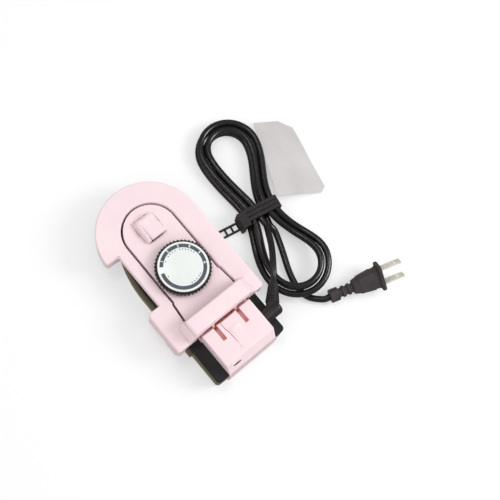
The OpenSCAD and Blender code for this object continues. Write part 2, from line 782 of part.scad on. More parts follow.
// Plate that closes the underside of the loop
module handle_cover() {
    fit = rim_t + 0.15;
    color(pink) difference() {
        translate([0, 0, loop_bottom + 2 * eps]) linear_extrude(cover_plate_t - 4 * eps) difference() {
            polygon(loop_outer(fit));
            loop_opening(fit);
            translate([-far_out, bar_rear - 5]) square([2 * far_out, bar_len + 5 + fit]);
            translate([-far_out, notch_front - 1]) square([far_out - loop_left + 3, 6]);
        }
        for (at = handle_screw_at) translate([at[0], at[1], loop_bottom - 1]) {
            cylinder(d = 2.4, h = 5);
            cylinder(d = 4.2, h = 1.8);
        }
    }
}

module handle_screws() {
    color(steel) for (at = handle_screw_at) translate([at[0], at[1], loop_bottom]) difference() {
        union() {
            cylinder(d = 3.8, h = 0.8);
            cylinder(d = 2, h = 4);
        }
        for (turn = [0, 90]) rotate(turn) translate([-1.1, -0.25, -0.1]) cube([2.2, 0.5, 0.6]);
    }
}

pad_len = 10;
pad_h = 12;

// Soft pad on the outer side of the grip block
module side_pad() {
    color([0.9, 0.76, 0.78]) translate([-loop_left - 0.7, bar_rear + 2.2, loop_bottom - block_drop + 1])
        cube([0.7, pad_len, pad_h]);
}

// ---- dial -----------------------------------------------------------------

module dial_spindle() {
    color(steel) {
        translate([0, dial_y, bridge_z - 2]) cylinder(d = spindle_d - 2, h = skirt_top - bridge_z + 2 + eps);
        translate([0, dial_y, bridge_z + bridge_boss + 0.1])
            cylinder(d = spindle_d, h = dial_top - bridge_z - 2 * bridge_boss - 0.1);
    }
}

ridge_depth = 0.8;
dial_wall = 2.4;
dial_plate = 1.6;

function ridge_ring(r) = [for (i = [0:dial_ridges - 1]) for (step = [0:3])
    let (a = 360 * (i + [0, 0.25, 0.5, 0.75][step]) / dial_ridges, out = r - (step < 2 ? 0 : ridge_depth))
        [out * cos(a), out * sin(a)]];

module dial_ring() {
    color(black) translate([0, dial_y, dial_bottom]) difference() {
        linear_extrude(dial_h) polygon(ridge_ring(dial_d / 2));
        translate([0, 0, -eps]) cylinder(d = dial_d - 2 * dial_wall, h = dial_h - dial_plate - 1);
        translate([0, 0, dial_h - 1]) cylinder(d = disc_d + 0.1, h = 2);
        translate([0, 0, -1]) cylinder(d = spindle_d + 0.04, h = dial_h - 1);
    }
    color(black) translate([0, dial_y, dial_bottom + 0.2]) difference() {
        cylinder(d = spindle_d + 5, h = dial_h - dial_plate - 1);
        translate([0, 0, -1]) cylinder(d = spindle_d + 0.04, h = dial_h);
    }
}

module dial_face() {
    color(white) translate([0, dial_y, dial_top - 1]) cylinder(d = disc_d, h = 1, $fn = 128);
}

// ---- button and latch -------------------------------------------------------

button_low = skirt_top + 5;
slope_left = 4.2;      // how far the button's sides lean in
slope_right = 1.4;
slope_front = 3.2;
spring_d = 7;
spring_wire = 0.6;

module release_button() {
    color(pink) translate([button_x, button_y, 0]) {
        hull() {
            translate([-button_w / 2, -button_len / 2, cover_top - 2]) cube([button_w, button_len, 1]);
            translate([-button_w / 2 + slope_left, -button_len / 2 + 0.2, cover_top + button_h - 0.5])
                cube([button_w - slope_left - slope_right, button_len - slope_front, 0.5]);
        }
        translate([-button_w / 2, -button_len / 2, button_low])
            cube([button_w, button_len, cover_top - 1.5 - button_low]);
    }
}

// Points of a helix
function coil_points(r, z0, z1, turns) = [for (i = [0:turns * 8]) let (t = i / 8)
    [r * cos(360 * t), r * sin(360 * t), z0 + (z1 - z0) * t / turns]];

module coil_spring(r, z0, z1, turns, wire) {
    tube(coil_points(r, z0 + wire / 2, z1 - wire / 2, turns), wire, 6);
}

module button_spring() {
    color(steel) translate([button_x, button_y, 0])
        coil_spring(spring_d / 2, skirt_top + seat_gap, button_low - seat_gap, 4, spring_wire);
}

latch_low = latch_floor + 1.2 + 3;

module lock_latch() {
    top = housing_top + latch_h;
    color(pink) translate([0, latch_y, 0]) side_extrude(latch_w)
        polygon([[-latch_len / 2, latch_low], [latch_len / 2, latch_low], [latch_len / 2, top - 2.4],
                 [latch_len / 2 - 3, top - 1.2], [5.2, top - 0.9], [4.2, top + 0.2], [3.2, top + 0.3],
                 [2, top - 0.5], [-4, top - 0.9], [-latch_len / 2 + 2.4, top - 0.2],
                 [-latch_len / 2 + 0.8, top - 0.3], [-latch_len / 2, top - 1.6]]);
}

// Bowed leaf under the latch that holds it where it is slid to
module latch_spring() {
    low = latch_floor + 1.2;
    rise = latch_low - 0.1 - low;
    leaf_t = 0.4;
    color(steel) translate([0, latch_y, low]) side_extrude(6)
        polygon([[-8, 0], [-8, leaf_t], [-6, leaf_t], [-2, rise], [2, rise], [6, leaf_t], [8, leaf_t], [8, 0],
                 [6 - leaf_t, 0], [2 - leaf_t, rise - leaf_t], [leaf_t - 2, rise - leaf_t],
                 [leaf_t - 6, 0]]);
}

// ---- mains lead -----------------------------------------------------------

boot_elbow_x = 31.4;
boot_angle = 45;
boot_dip = 8;
head_len = 16.3;       // of the boot's head, out from the housing
head_r = 2.5;          // rounding of the head's end
relief_len = 23;
relief_ribs = 7;
relief_from = 7;       // where the ribs start, from the elbow
rib_pitch = 2.1;
rib_len = 1.1;
rib_step = 0.42;       // how much smaller each rib is than the one before

module cord_boot() {
    color(black) {
        translate([housing_half - wall - 2, boot_y, boot_z]) rotate([0, 90, 0])
            cylinder(d = boot_neck_d, h = wall + 2 + eps);
        translate([housing_half, boot_y, boot_z]) rotate([0, 90, 0]) rotate_extrude()
            polygon(concat([[0, 0], [boot_d / 2, 0]],
                           arc([boot_d / 2 - head_r, head_len - head_r], head_r, 0, 90, 5), [[0, head_len]]));
        translate([boot_elbow_x, boot_y, boot_z]) {
            rotate([0, 90 + boot_dip, boot_angle]) {
                cylinder(d1 = boot_d - 0.6, d2 = cord_d + 1.6, h = relief_len);
                for (i = [0:relief_ribs - 1]) translate([0, 0, relief_from + i * rib_pitch])
                    cylinder(d = boot_d - 0.1 - i * rib_step, h = rib_len);
            }
        }
    }
}

function unit(v) = v / norm(v);
function path_dir(path, i) = unit(path[min(i + 1, len(path) - 1)] - path[max(i - 1, 0)]);

// Round tube along a path of 3-D points
module tube(path, d, sides) {
    rings = len(path);
    points = [for (i = [0:rings - 1])
        let (dir = path_dir(path, i), side = unit(cross(dir, [0, 0, 1])), up = cross(side, dir))
        for (k = [0:sides - 1]) path[i] + d / 2 * (cos(360 * k / sides) * side + sin(360 * k / sides) * up)];
    walls = [for (i = [0:rings - 2]) for (k = [0:sides - 1])
        let (a = i * sides + k, b = i * sides + (k + 1) % sides)
        each [[a, a + sides, b], [b, a + sides, b + sides]]];
    caps = [for (k = [1:sides - 2]) each [[0, k, k + 1],
        [(rings - 1) * sides, (rings - 1) * sides + k + 1, (rings - 1) * sides + k]]];
    polyhedron(points = points, faces = concat(walls, caps));
}

// The hank's own frame: u runs along it toward the tip side, q across it to the right
hank_at = [81, 8];
hank_turn = 10.5;
far_lean = 3.5;                    // each end leans a little off the straight line
near_lean = 3.5;
layer_h = cord_d + 0.6;
turn_pitch = cord_d + turn_gap;
waist_pitch = cord_d + 0.6;
waist_half = cord_d / 2 + 0.4;
turn_back = hank_turns / 2;        // turn count at which the spiral reverses
run_share = 0.25;

function hank_place(u, q, z) = let (lean = (u > 0 ? far_lean : near_lean) * smooth(abs(u) / 50),
    angle = u > 0 ? hank_turn + lean : hank_turn - lean)
    [hank_at[0] + u * sin(angle) + q * cos(angle), hank_at[1] + u * cos(angle) - q * sin(angle), z];

// How many turns out from the innermost one the cord is after t turns
function turn_out(t) = t < turn_back ? t : 2 * turn_back - t;
function layer_at(t) = 1 - smooth((t - turn_back + 0.25) / 0.5);

// Cord across the half width, from the waist out to the fold
function run_half(k, s) = let (waist = waist_half + waist_pitch * k, fold = fold_half + turn_pitch * k)
    waist + (fold - waist) * smooth(s);

// [u, q] for the half turn on one side of the waist, g from 0 to 1
function half_turn(k, g, reach) = let (fold = fold_half + turn_pitch * k,
                                       straight = reach + turn_pitch * k - fold)
    g < run_share ? [straight * g / run_share, run_half(k, g / run_share)] :
    g > 1 - run_share ? [straight * (1 - g) / run_share, -run_half(k, (1 - g) / run_share)] :
    let (a = 180 * (g - run_share) / (1 - 2 * run_share)) [straight + fold * sin(a), fold * cos(a)];

function hank_height(t, u) = cord_d / 2 + layer_h * layer_at(t)
    + (tie_t + 0.3) * (1 - smooth(abs(u) / 26))
    + layer_h * smooth((-u - 24) / 34);

function hank_point(t) = let (phase = t - floor(t), k = turn_out(t),
    flat = phase < 0.5 ? half_turn(k, phase * 2, far_fold) : -half_turn(k, phase * 2 - 1, near_fold))
    hank_place(flat[0], -flat[1], hank_height(t, flat[0]));

hank_lead_in = 0.01;
hank_rings = 24;
function hank_run(rings) = let (span = hank_turns + 2 * hank_lead_in, steps = round(span * rings))
    [for (i = [0:steps]) hank_point(span * i / steps - hank_lead_in)];
function straight_ends(path, d) = let (n = len(path) - 1)
    concat([path[0] - d * unit(path[1] - path[0])], path, [path[n] + d * unit(path[n] - path[n - 1])]);

hank_path = straight_ends(hank_run(hank_rings), cord_d);

// Least gap of the hank to itself, over points more than a fold apart
fine_run = hank_run(72);
gap_skip = 14;
hank_gap = min([for (i = [0:len(fine_run) - gap_skip - 1])
    min([for (j = [i + gap_skip:1:len(fine_run) - 1]) norm(fine_run[i] - fine_run[j])])]) - cord_d;
echo(hank_least_gap = hank_gap);

module cord_hank() {
    color(black) tube(hank_path, cord_d, 6);
}

// Route of the free stretch from the boot to the hank
boot_end = let (reach = relief_len) [boot_elbow_x + reach * cos(boot_dip) * cos(boot_angle),
            boot_y + reach * cos(boot_dip) * sin(boot_angle), boot_z - reach * sin(boot_dip)];
lead_mid = [[55, -35.5, 20], [61.5, -27.5, 18.6], [67.5, -19.5, 16], [72.5, -11.5, 13]];

// Route of the free stretch from the hank to the plug
tail_mid = [[81, -11, 3.2], [77.5, -21.5, 2.7], [73, -32, 2.7], [68.5, -42.5, 2.7], [65.5, -53, 2.7],
            [65, -62, 2.7], [67.5, -69.5, 3]];
plug_at = [79, -78.6, 5.8];
plug_turn = -18;
plug_rise = 8.8;

function curve_point(p0, p1, p2, p3, t) = 0.5 * (2 * p1 + (p2 - p0) * t
    + (2 * p0 - 5 * p1 + 4 * p2 - p3) * t * t + (3 * p1 - p0 - 3 * p2 + p3) * t * t * t);
function curve(points, steps) = let (n = len(points) - 1) concat(
    [for (i = [0:n - 1]) for (j = [0:steps - 1])
        curve_point(points[max(i - 1, 0)], points[i], points[i + 1], points[min(i + 2, n)], j / steps)],
    [points[n]]);

hank_first = hank_path[0];
hank_last = hank_path[len(hank_path) - 1];
hank_first_dir = unit(hank_path[1] - hank_path[0]);
hank_last_dir = unit(hank_path[len(hank_path) - 1] - hank_path[len(hank_path) - 2]);
boot_dir = unit(boot_end - [boot_elbow_x, boot_y, boot_z]);
plug_dir = [cos(plug_turn) * cos(plug_rise), sin(plug_turn) * cos(plug_rise), sin(plug_rise)];

lead_path = concat([boot_end], curve(concat([boot_end + cord_d * boot_dir], lead_mid,
                                            [hank_first - 0.8 * cord_d * hank_first_dir]), 2), [hank_first]);
tail_path = concat([hank_last], curve(concat([hank_last + 0.8 * cord_d * hank_last_dir], tail_mid,
                                             [plug_at - cord_d * plug_dir]), 2), [plug_at]);

module cord_lead() {
    color(black) tube(lead_path, cord_d, 8);
}

module cord_tail() {
    color(black) tube(tail_path, cord_d, 8);
}

function path_length(path) = let (steps = [for (i = [1:len(path) - 1]) norm(path[i] - path[i - 1])])
    steps * [for (i = steps) 1];
echo(cord_length = path_length(lead_path) + path_length(fine_run) + 2 * cord_d + path_length(tail_path));

// Rubber ladder tie: three turns, a buckle and the free ladder end
tie_reach = 1.5 * tie_w + 0.4;
tie_half = run_half(turn_back - 0.23, tie_reach / (near_fold - fold_half)) + cord_d / 2 + 0.3;
tie_top = tie_t + 0.3 + layer_h + cord_d + 0.3;
ladder_w = 7.6;
ladder_pitch = 5.4;
ladder_rungs = 4;
ladder_rail = 1.7;
ladder_rung = 1.5;
ladder_len = ladder_rungs * ladder_pitch + ladder_rung;
ladder_u = -1.6;       // the ladder's middle along the hank
buckle_l = 3.4;        // part of the buckle beside the turns
buckle_over = 3.6;     // part that lies on the turns
buckle_w = 12.6;
buckle_u = -8.4;       // where the buckle starts along the hank
buckle_cap = 1.3;

module tie_turn(u) {
    r = 3.5;
    translate([0, u + tie_w / 2, 0]) rotate([90, 0, 0]) linear_extrude(tie_w) difference() {
        polygon(rounded_box(-tie_half - tie_t, tie_half + tie_t, 0, tie_top + tie_t, r));
        polygon(rounded_box(-tie_half, tie_half, tie_t, tie_top, r - tie_t));
    }
}

function rounded_box(x0, x1, z0, z1, r) = concat(
    arc([x1 - r, z0 + r], r, -90, 0, 4), arc([x1 - r, z1 - r], r, 0, 90, 4),
    arc([x0 + r, z1 - r], r, 90, 180, 4), arc([x0 + r, z0 + r], r, 180, 270, 4));

module cable_tie() {
    color(black) translate([hank_at[0], hank_at[1], 0]) rotate(-hank_turn) {
        for (u = [-1, 0, 1]) tie_turn(u * (tie_w + 0.4));
        // Bridge that joins the three turns at the left, and the buckle over it
        translate([-tie_half - tie_t, -tie_reach, 2]) cube([tie_t, 2 * tie_reach, tie_top - 4]);
        translate([-tie_half - tie_t - buckle_l, buckle_u, 0]) {
            cube([buckle_l + eps, buckle_w, tie_top + tie_t]);
            translate([0, 0, tie_top + tie_t - eps]) cube([buckle_l + buckle_over, buckle_w, buckle_cap]);
        }
        // Ladder end that lies on the table
        difference() {
            translate([-tie_half - tie_t - buckle_l - ladder_len, ladder_u - ladder_w / 2, 0])
                cube([ladder_len + eps, ladder_w, tie_t]);
            for (i = [1:ladder_rungs])
                translate([-tie_half - tie_t - buckle_l - i * ladder_pitch + ladder_rung / 2,
                           ladder_u - ladder_w / 2 + ladder_rail, -1])
                    cube([ladder_pitch - ladder_rung, ladder_w - 2 * ladder_rail, tie_t + 2]);
        }
    }
}

// Film tag held along the outer turn of the hank, its free side on the table
tag_t = 0.5;
tag_tilt = 9.8;
tag_from = [8, 18.7];              // where its held edge starts, along and across the far end
tag_lean = 8.5;                    // angle of that edge to the far end's axis
tag_z = 7.9;                       // height of that edge
tag_outline = [[0, -2.5], [17, -4.5], [38, -7.5], [42.5, -3], [33, 52], [22, 60], [1, 62]];

module cord_tag() {
    color([0.9, 0.9, 0.9]) translate([hank_at[0], hank_at[1], 0]) rotate(-hank_turn - far_lean)
        translate([tag_from[1], tag_from[0], tag_z]) rotate(-tag_lean) rotate([0, tag_tilt, 0])
            linear_extrude(tag_t) polygon(tag_outline);
}

collar_r = 5.4;
relief_r = 4.6;
plug_relief_len = 19;
plug_body_len = 22;
flange_w = 22;
flange_t = 13;
flange_l = 3;
plug_roll = 40;

module plug_frame() {
    translate(plug_at) rotate([0, 0, plug_turn]) rotate([0, -plug_rise, 0])
        rotate([plug_roll, 0, 0]) rotate([0, 90, 0]) children();
}

module plug_relief() {
    color(black) plug_frame() {
        cylinder(r = relief_r - 1, h = plug_relief_len);
        cylinder(r = collar_r, h = 7.4);
        for (z = [10, 14.6]) translate([0, 0, z]) cylinder(r = relief_r, h = 2.6);
    }
}

module plug_body() {
    front = plug_relief_len + plug_body_len;
    color(black) plug_frame() {
        hull() {
            translate([-4.8, -5.6, plug_relief_len]) cube([9.6, 11.2, 0.5]);
            translate([-5.4, -8.6, front - 1]) cube([10.8, 17.2, 1]);
        }
        translate([-flange_t / 2, -flange_w / 2, front]) cube([flange_t, flange_w, flange_l]);
    }
}

blade_w = 6.35;
blade_t = 1.5;
blade_len = 17;

module plug_blades() {
    color("silver") plug_frame() for (y = [-blade_gap / 2, blade_gap / 2]) difference() {
        translate([-blade_w / 2, y - blade_t / 2, plug_relief_len + plug_body_len + flange_l])
            cube([blade_w, blade_t, blade_len]);
        translate([0, y - 2, plug_relief_len + plug_body_len + flange_l + blade_len - 4.6]) rotate([-90, 0, 0])
            cylinder(d = 3.1, h = 4);
    }
}

soleplate();
heating_element();
heater_beads();
thermostat_base();
bimetal_strip();
thermostat_stack();
thermal_fuse();
fuse_clip();
heat_skirt();
sole_screws();
body_cover();
rear_housing();
housing_screws();
terminal_block();
terminal_screws();
inner_wires();
cord_clamp();
hinge_pins();
handle_frame();
handle_cover();
handle_screws();
side_pad();
dial_spindle();
dial_ring();
dial_face();
release_button();
button_spring();
lock_latch();
latch_spring();
cord_boot();
cord_lead();
cord_hank();
cord_tail();
cable_tie();
cord_tag();
plug_relief();
plug_body();
plug_blades();
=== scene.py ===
import json
from math import ceil, cos, dist, exp, hypot, pi, radians, sin, sqrt

import bmesh
import bpy
from mathutils import Matrix, Vector
from mathutils.bvhtree import BVHTree


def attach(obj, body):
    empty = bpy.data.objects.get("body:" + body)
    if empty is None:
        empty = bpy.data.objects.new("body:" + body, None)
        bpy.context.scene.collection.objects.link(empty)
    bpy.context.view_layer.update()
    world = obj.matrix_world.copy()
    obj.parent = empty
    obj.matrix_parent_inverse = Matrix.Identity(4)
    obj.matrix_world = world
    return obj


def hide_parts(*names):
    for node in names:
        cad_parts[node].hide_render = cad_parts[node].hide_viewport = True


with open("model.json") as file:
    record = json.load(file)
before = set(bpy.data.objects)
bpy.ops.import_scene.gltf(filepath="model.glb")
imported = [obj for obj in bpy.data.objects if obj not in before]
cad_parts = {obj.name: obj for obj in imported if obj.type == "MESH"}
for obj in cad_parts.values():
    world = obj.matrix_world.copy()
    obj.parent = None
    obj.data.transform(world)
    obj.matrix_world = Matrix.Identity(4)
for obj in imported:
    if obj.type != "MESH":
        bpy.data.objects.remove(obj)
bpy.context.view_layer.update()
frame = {"nodes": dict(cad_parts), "record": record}
nodes = frame["nodes"]
mm = 0.001
print("frame loaded:", len(nodes), "nodes")

# ---------- helpers

weldStep = 0.004         # mm; points closer than this become one

def metres(values):
    return [value * mm for value in values]

def sceneLink(obj):
    bpy.context.scene.collection.objects.link(obj)
    return obj

def meshObject(name, verts, faces, material=None):
    mesh = bpy.data.meshes.new(name)
    mesh.from_pydata([tuple(v) for v in verts], [], faces)
    mesh.update()
    obj = sceneLink(bpy.data.objects.new(name, mesh))
    if material:
        mesh.materials.append(material)
    return obj

def smoothShade(obj, angle=38):
    for face in obj.data.polygons:
        face.use_smooth = True
    obj.data.set_sharp_from_angle(angle=radians(angle))
    return obj

def outward(obj, weld=weldStep):
    # all faces look out
    bm = bmesh.new()
    bm.from_mesh(obj.data)
    if weld:
        bmesh.ops.remove_doubles(bm, verts=bm.verts, dist=weld * mm)
    bmesh.ops.recalc_face_normals(bm, faces=bm.faces)
    bm.to_mesh(obj.data)
    bm.free()
    return obj

def applied(obj):
    # the evaluated mesh takes the place of the mesh and its modifiers
    deps = bpy.context.evaluated_depsgraph_get()
    mesh = bpy.data.meshes.new_from_object(obj.evaluated_get(deps))
    obj.modifiers.clear()
    obj.data = mesh
    return obj

def united(obj, other):
    # both as one solid; the other object goes
    join = obj.modifiers.new("join", "BOOLEAN")
    join.operation = "UNION"
    join.object = other
    join.solver = "EXACT"
    applied(obj)
    bpy.data.objects.remove(other)
    return obj

def smoothStep(s):
    s = min(1.0, max(0.0, s))
    return s * s * (3 - 2 * s)

def ringPoint(centre, radius, degrees):
    a = radians(degrees)
    return (centre[0] + radius * cos(a), centre[1] + radius * sin(a))

def arcPoints(centre, radius, start, end, steps):
    return [ringPoint(centre, radius, start + (end - start) * i / steps) for i in range(steps + 1)]

def wayOf(turn, rise):
    # the direction at that turn round Z and that rise above level, in degrees
    turn, rise = radians(turn), radians(rise)
    return Vector((cos(rise) * cos(turn), cos(rise) * sin(turn), sin(rise)))

def turned(degrees, axis):
    return Matrix.Rotation(radians(degrees), 4, axis)

def loft(name, rings, material, angle=38):
    # a closed skin through rings of points, with a cap at each end
    count, last = len(rings[0]), len(rings) - 1
    faces = []
    for i in range(last):
        for k in range(count):
            n = (k + 1) % count
            faces.append((i * count + k, i * count + n, (i + 1) * count + n, (i + 1) * count + k))
    faces.append(tuple(range(count - 1, -1, -1)))
    faces.append(tuple(last * count + k for k in range(count)))
    obj = meshObject(name, [p for ring in rings for p in ring], faces, material)
    return smoothShade(outward(obj, weld=0), angle)

# ---------- colours and materials

def hexTone(code):
    # sRGB hex to the linear colour that shaders take
    channels = [int(code[i:i + 2], 16) / 255 for i in (0, 2, 4)]
    linear = [c / 12.92 if c <= 0.04045 else ((c + 0.055) / 1.055) ** 2.4 for c in channels]
    return (*linear, 1.0)

def setInputs(tree, node, inputs):
    # another node's output is linked, a plain value goes in as it is
    for key, value in inputs.items():
        if isinstance(value, bpy.types.NodeSocket):
            tree.links.new(value, node.inputs[key])
        else:
            node.inputs[key].default_value = value

def addNode(tree, kind, settings=None, inputs=None):
    node = tree.nodes.new(kind)
    for name, value in (settings or {}).items():
        setattr(node, name, value)
    setInputs(tree, node, inputs or {})
    return node

def newMaterial(name, **surface):
    material = bpy.data.materials.new(name)
    material.use_nodes = True
    tree = material.node_tree
    shader = tree.nodes["Principled BSDF"]
    for key, value in surface.items():
        shader.inputs[key.replace("_", " ")].default_value = value
    return material, tree, shader

def maths(tree, operation, *values):
    return addNode(tree, "ShaderNodeMath", {"operation": operation}, dict(enumerate(values))).outputs[0]

def mapped(tree, coords, stretch):
    return addNode(tree, "ShaderNodeMapping", inputs={"Vector": coords, "Scale": stretch}).outputs[0]

def objectCoords(tree, stretch=(1, 1, 1)):
    return mapped(tree, addNode(tree, "ShaderNodeTexCoord").outputs["Object"], stretch)

def alongAxis(tree, axis):
    return addNode(tree, "ShaderNodeSeparateXYZ", inputs={0: objectCoords(tree)}).outputs[axis]

def blendTones(tree, factor, low, high):
    # a tone is a hex code or another node's colour
    low, high = [hexTone(tone) if isinstance(tone, str) else tone for tone in (low, high)]
    return addNode(tree, "ShaderNodeMix", {"data_type": "RGBA"}, {0: factor, 6: low, 7: high}).outputs[2]

def noise(tree, coords, sizeMm, detail=3.0, rough=0.55):
    # for a feature of that many millimetres, on Object coordinates in metres
    inputs = {"Vector": coords, "Scale": 1000.0 / sizeMm, "Detail": detail, "Roughness": rough}
    return addNode(tree, "ShaderNodeTexNoise", inputs=inputs).outputs["Fac"]

def spread(tree, value, fromLow, fromHigh, toLow, toHigh):
    limits = {"Value": value, "From Min": fromLow, "From Max": fromHigh, "To Min": toLow, "To Max": toHigh}
    return addNode(tree, "ShaderNodeMapRange", inputs=limits).outputs["Result"]

def noiseTo(tree, value, low, high, least=0.3):
    # noise lies mostly between 0.3 and 0.7
    return spread(tree, value, least, 0.7, low, high)

def bump(tree, height, depthMm):
    inputs = {"Height": height, "Distance": depthMm * mm, "Strength": 1.0}
    return addNode(tree, "ShaderNodeBump", inputs=inputs).outputs["Normal"]

def mouldedSkin(tree, tones, rough, grainMm, grainDepth, mottleMm):
    # an even body colour, a spark-eroded grain and faint flow marks
    coords = objectCoords(tree)
    mottle = noise(tree, coords, mottleMm, 2)
    grain = noise(tree, coords, grainMm, 2)
    return {"Base Color": blendTones(tree, noiseTo(tree, mottle, 0.0, 1.0), *tones),
            "Roughness": noiseTo(tree, grain, *rough), "Normal": bump(tree, grain, grainDepth)}

def moulded(name, tone, deepTone, roughness, grainMm, grainDepth, mottleMm, **surface):
    material, tree, shader = newMaterial(name, **surface)
    rough = (roughness - 0.05, roughness + 0.05)
    setInputs(tree, shader, mouldedSkin(tree, (tone, deepTone), rough, grainMm, grainDepth, mottleMm))
    return material

# the second pair of tones, reach, rear and glow set the painted shade and painted glow in gaps and pockets
pinkPaintedShadeLook = {"tones": ("F4DEE2", "F2DADF"), "paintedShadeTones": ("C4553F", "F2AB9B"), "mottle": 18, "grain": 0.6,
            "grainDepth": 0.004, "rough": (0.32, 0.42), "reach": 5, "rear": (-41, -37), "glow": 0.21}

def pinkPlasticPaintedShade():
    # slightly translucent ABS, moulded in a satin tool; painted shade: gaps and pockets, found by ambient
    # occlusion, are tinted dark red to warm pink
    material, tree, shader = newMaterial("absPinkMouldedPaintedShade", IOR=1.53)
    skin = mouldedSkin(tree, pinkPaintedShadeLook["tones"], pinkPaintedShadeLook["rough"], pinkPaintedShadeLook["grain"],
                       pinkPaintedShadeLook["grainDepth"], pinkPaintedShadeLook["mottle"])
    # painted shade: toward the rear the occlusion also counts the other parts, elsewhere only the part itself
    within, between = [addNode(tree, "ShaderNodeAmbientOcclusion", {"samples": 8, "only_local": local},
                               {"Distance": pinkPaintedShadeLook["reach"] * mm}).outputs["AO"] for local in (True, False)]
    rear = spread(tree, alongAxis(tree, "Y"), *metres(pinkPaintedShadeLook["rear"]), 1.0, 0.0)
    clear = addNode(tree, "ShaderNodeMix", {"data_type": "FLOAT"},
                    {0: rear, 2: within, 3: between}).outputs[0]
    paintedShadeTone = blendTones(tree, spread(tree, clear, 0.02, 0.3, 0.0, 1.0), *pinkPaintedShadeLook["paintedShadeTones"])
    outside = spread(tree, clear, 0.2, 0.5, 0.0, 1.0)
    skin["Base Color"] = blendTones(tree, outside, paintedShadeTone, skin["Base Color"])
    # painted glow: the shaded pockets also give off a little light of their own
    skin["Emission Color"] = paintedShadeTone
    skin["Emission Strength"] = spread(tree, clear, 0.1, 0.45, pinkPaintedShadeLook["glow"], 0.0)
    setInputs(tree, shader, skin)
    return material

# pale pink body parts
pinkAbs = pinkPlasticPaintedShade()
# glass-filled phenolic, compression moulded: heat skirt, matt with a faint mineral grain
blackPhenolic = moulded("phenolicBlackMoulded", "181516", "211C1D", 0.5, 0.9, 0.012, 7, IOR=1.5)
# acetal, moulded: dial rim, slightly greasy sheen
dialAcetal = moulded("acetalBlackMoulded", "171517", "1F1C1E", 0.38, 0.5, 0.004, 6, IOR=1.48)
# thermoplastic rubber, moulded: ladder tie
tieRubber = moulded("rubberTieMoulded", "231F21", "2D282A", 0.5, 0.5, 0.01, 5, IOR=1.5)
# soft thermoplastic elastomer pad on the grip
rosePad = moulded("elastomerRosePad", "E9CFD3", "E4C8CD", 0.55, 0.4, 0.01, 6, IOR=1.5)
# flexible PVC, moulded over the lead: boot and plug
plugVinyl = moulded("vinylPlugMoulded", "3A3335", "443D3F", 0.42, 0.7, 0.01, 6, IOR=1.53)
bootVinyl = moulded("vinylBootMoulded", "201D1E", "2B2829", 0.42, 0.6, 0.008, 6, IOR=1.53)
# glazed steatite beads and blocks inside
steatite = moulded("steatiteGlazed", "E4E0D4", "DAD5C6", 0.4, 0.8, 0.01, 5, IOR=1.6)
# silicone sleeves, extruded: inner wires
sleeveSilicone = moulded("siliconeSleeveExtruded", "E6E4DE", "DCD9D0", 0.5, 0.6, 0.006, 6, IOR=1.45)
# ABS, moulded in a polished tool: the dial's disc
dialWhite = moulded("absWhiteGloss", "E9EDEA", "E4E9E5", 0.25, 0.6, 0.003, 8, IOR=1.53)
# screen ink on the dial's disc
inkSlate = moulded("inkSlatePrinted", "4C535C", "535A63", 0.5, 0.3, 0.002, 4)
inkBlack = moulded("inkBlackPrinted", "3B4048", "444950", 0.5, 0.3, 0.002, 4)
inkWhite = moulded("inkWhitePrinted", "EEF0EF", "E8EAE9", 0.5, 0.3, 0.002, 4)

def metal(name, tone, roughness, lineMm, lineDepth, stretch, metallic=1.0):
    # polished or drawn metal: fine lines along one way and soft smears of roughness
    material, tree, shader = newMaterial(name, Metallic=metallic)
    lines = noise(tree, objectCoords(tree, stretch), lineMm, 3, 0.65)
    smear = noise(tree, objectCoords(tree), 9, 3)
    setInputs(tree, shader, {
        "Base Color": blendTones(tree, noiseTo(tree, smear, 0.0, 0.35, 0.35), tone, "8C8880"),
        "Roughness": noiseTo(tree, smear, roughness - 0.04, roughness + 0.07),
        "Normal": bump(tree, lines, lineDepth)})
    return material

# the two tones over the browned band are a painted reflection, the dulled foot a painted highlight
soleLook = {"tones": ("CECBC4", "71685A"), "paintedReflectionBand": (2.5, 8.5), "wander": 1, "paintedFootBand": (1.2, 2.8),
            "paintedFootMetallic": 0.6, "rough": (0.13, 0.26), "line": 0.5, "lineDepth": 0.004, "smear": 7}

def castSole():
    # die-cast aluminium, ground and polished along its length; painted reflection: below the skirt the flank
    # goes from a pale foot to olive-brown higher up
    material, tree, shader = newMaterial("aluminiumPolishedSolePaintedReflection", Metallic=1.0)
    lines = noise(tree, objectCoords(tree, (1, 0.05, 1)), soleLook["line"], 3, 0.65)
    smear = noise(tree, objectCoords(tree, (1, 0.2, 1)), soleLook["smear"], 3)
    height = maths(tree, "MULTIPLY_ADD", smear, soleLook["wander"] * mm, alongAxis(tree, "Z"))
    paintedReflectionShare = spread(tree, height, *metres(soleLook["paintedReflectionBand"]), 0.0, 1.0)
    setInputs(tree, shader, {
        "Base Color": blendTones(tree, paintedReflectionShare, *soleLook["tones"]),
        "Roughness": noiseTo(tree, smear, *soleLook["rough"]),
        # painted highlight: the foot is made less metallic, so it takes light from all round and reads as a
        # pale strip
        "Metallic": spread(tree, height, *metres(soleLook["paintedFootBand"]), soleLook["paintedFootMetallic"], 1.0),
        "Normal": bump(tree, lines, soleLook["lineDepth"])})
    return material

polishedAluminium = castSole()
# steel, drawn or turned: screws, pins and springs
plainSteel = metal("steelDrawn", "B9B7B2", 0.32, 0.4, 0.004, (1, 1, 0.1))
# brass, stamped: contacts and terminals
contactBrass = metal("brassStamped", "C9A45A", 0.3, 0.4, 0.004, (0.2, 1, 1))
# brass, stamped and nickel plated: plug blades
nickelBlade = metal("brassNickelPlated", "F2EFE6", 0.3, 0.4, 0.003, (0.2, 1, 1), 0.35)

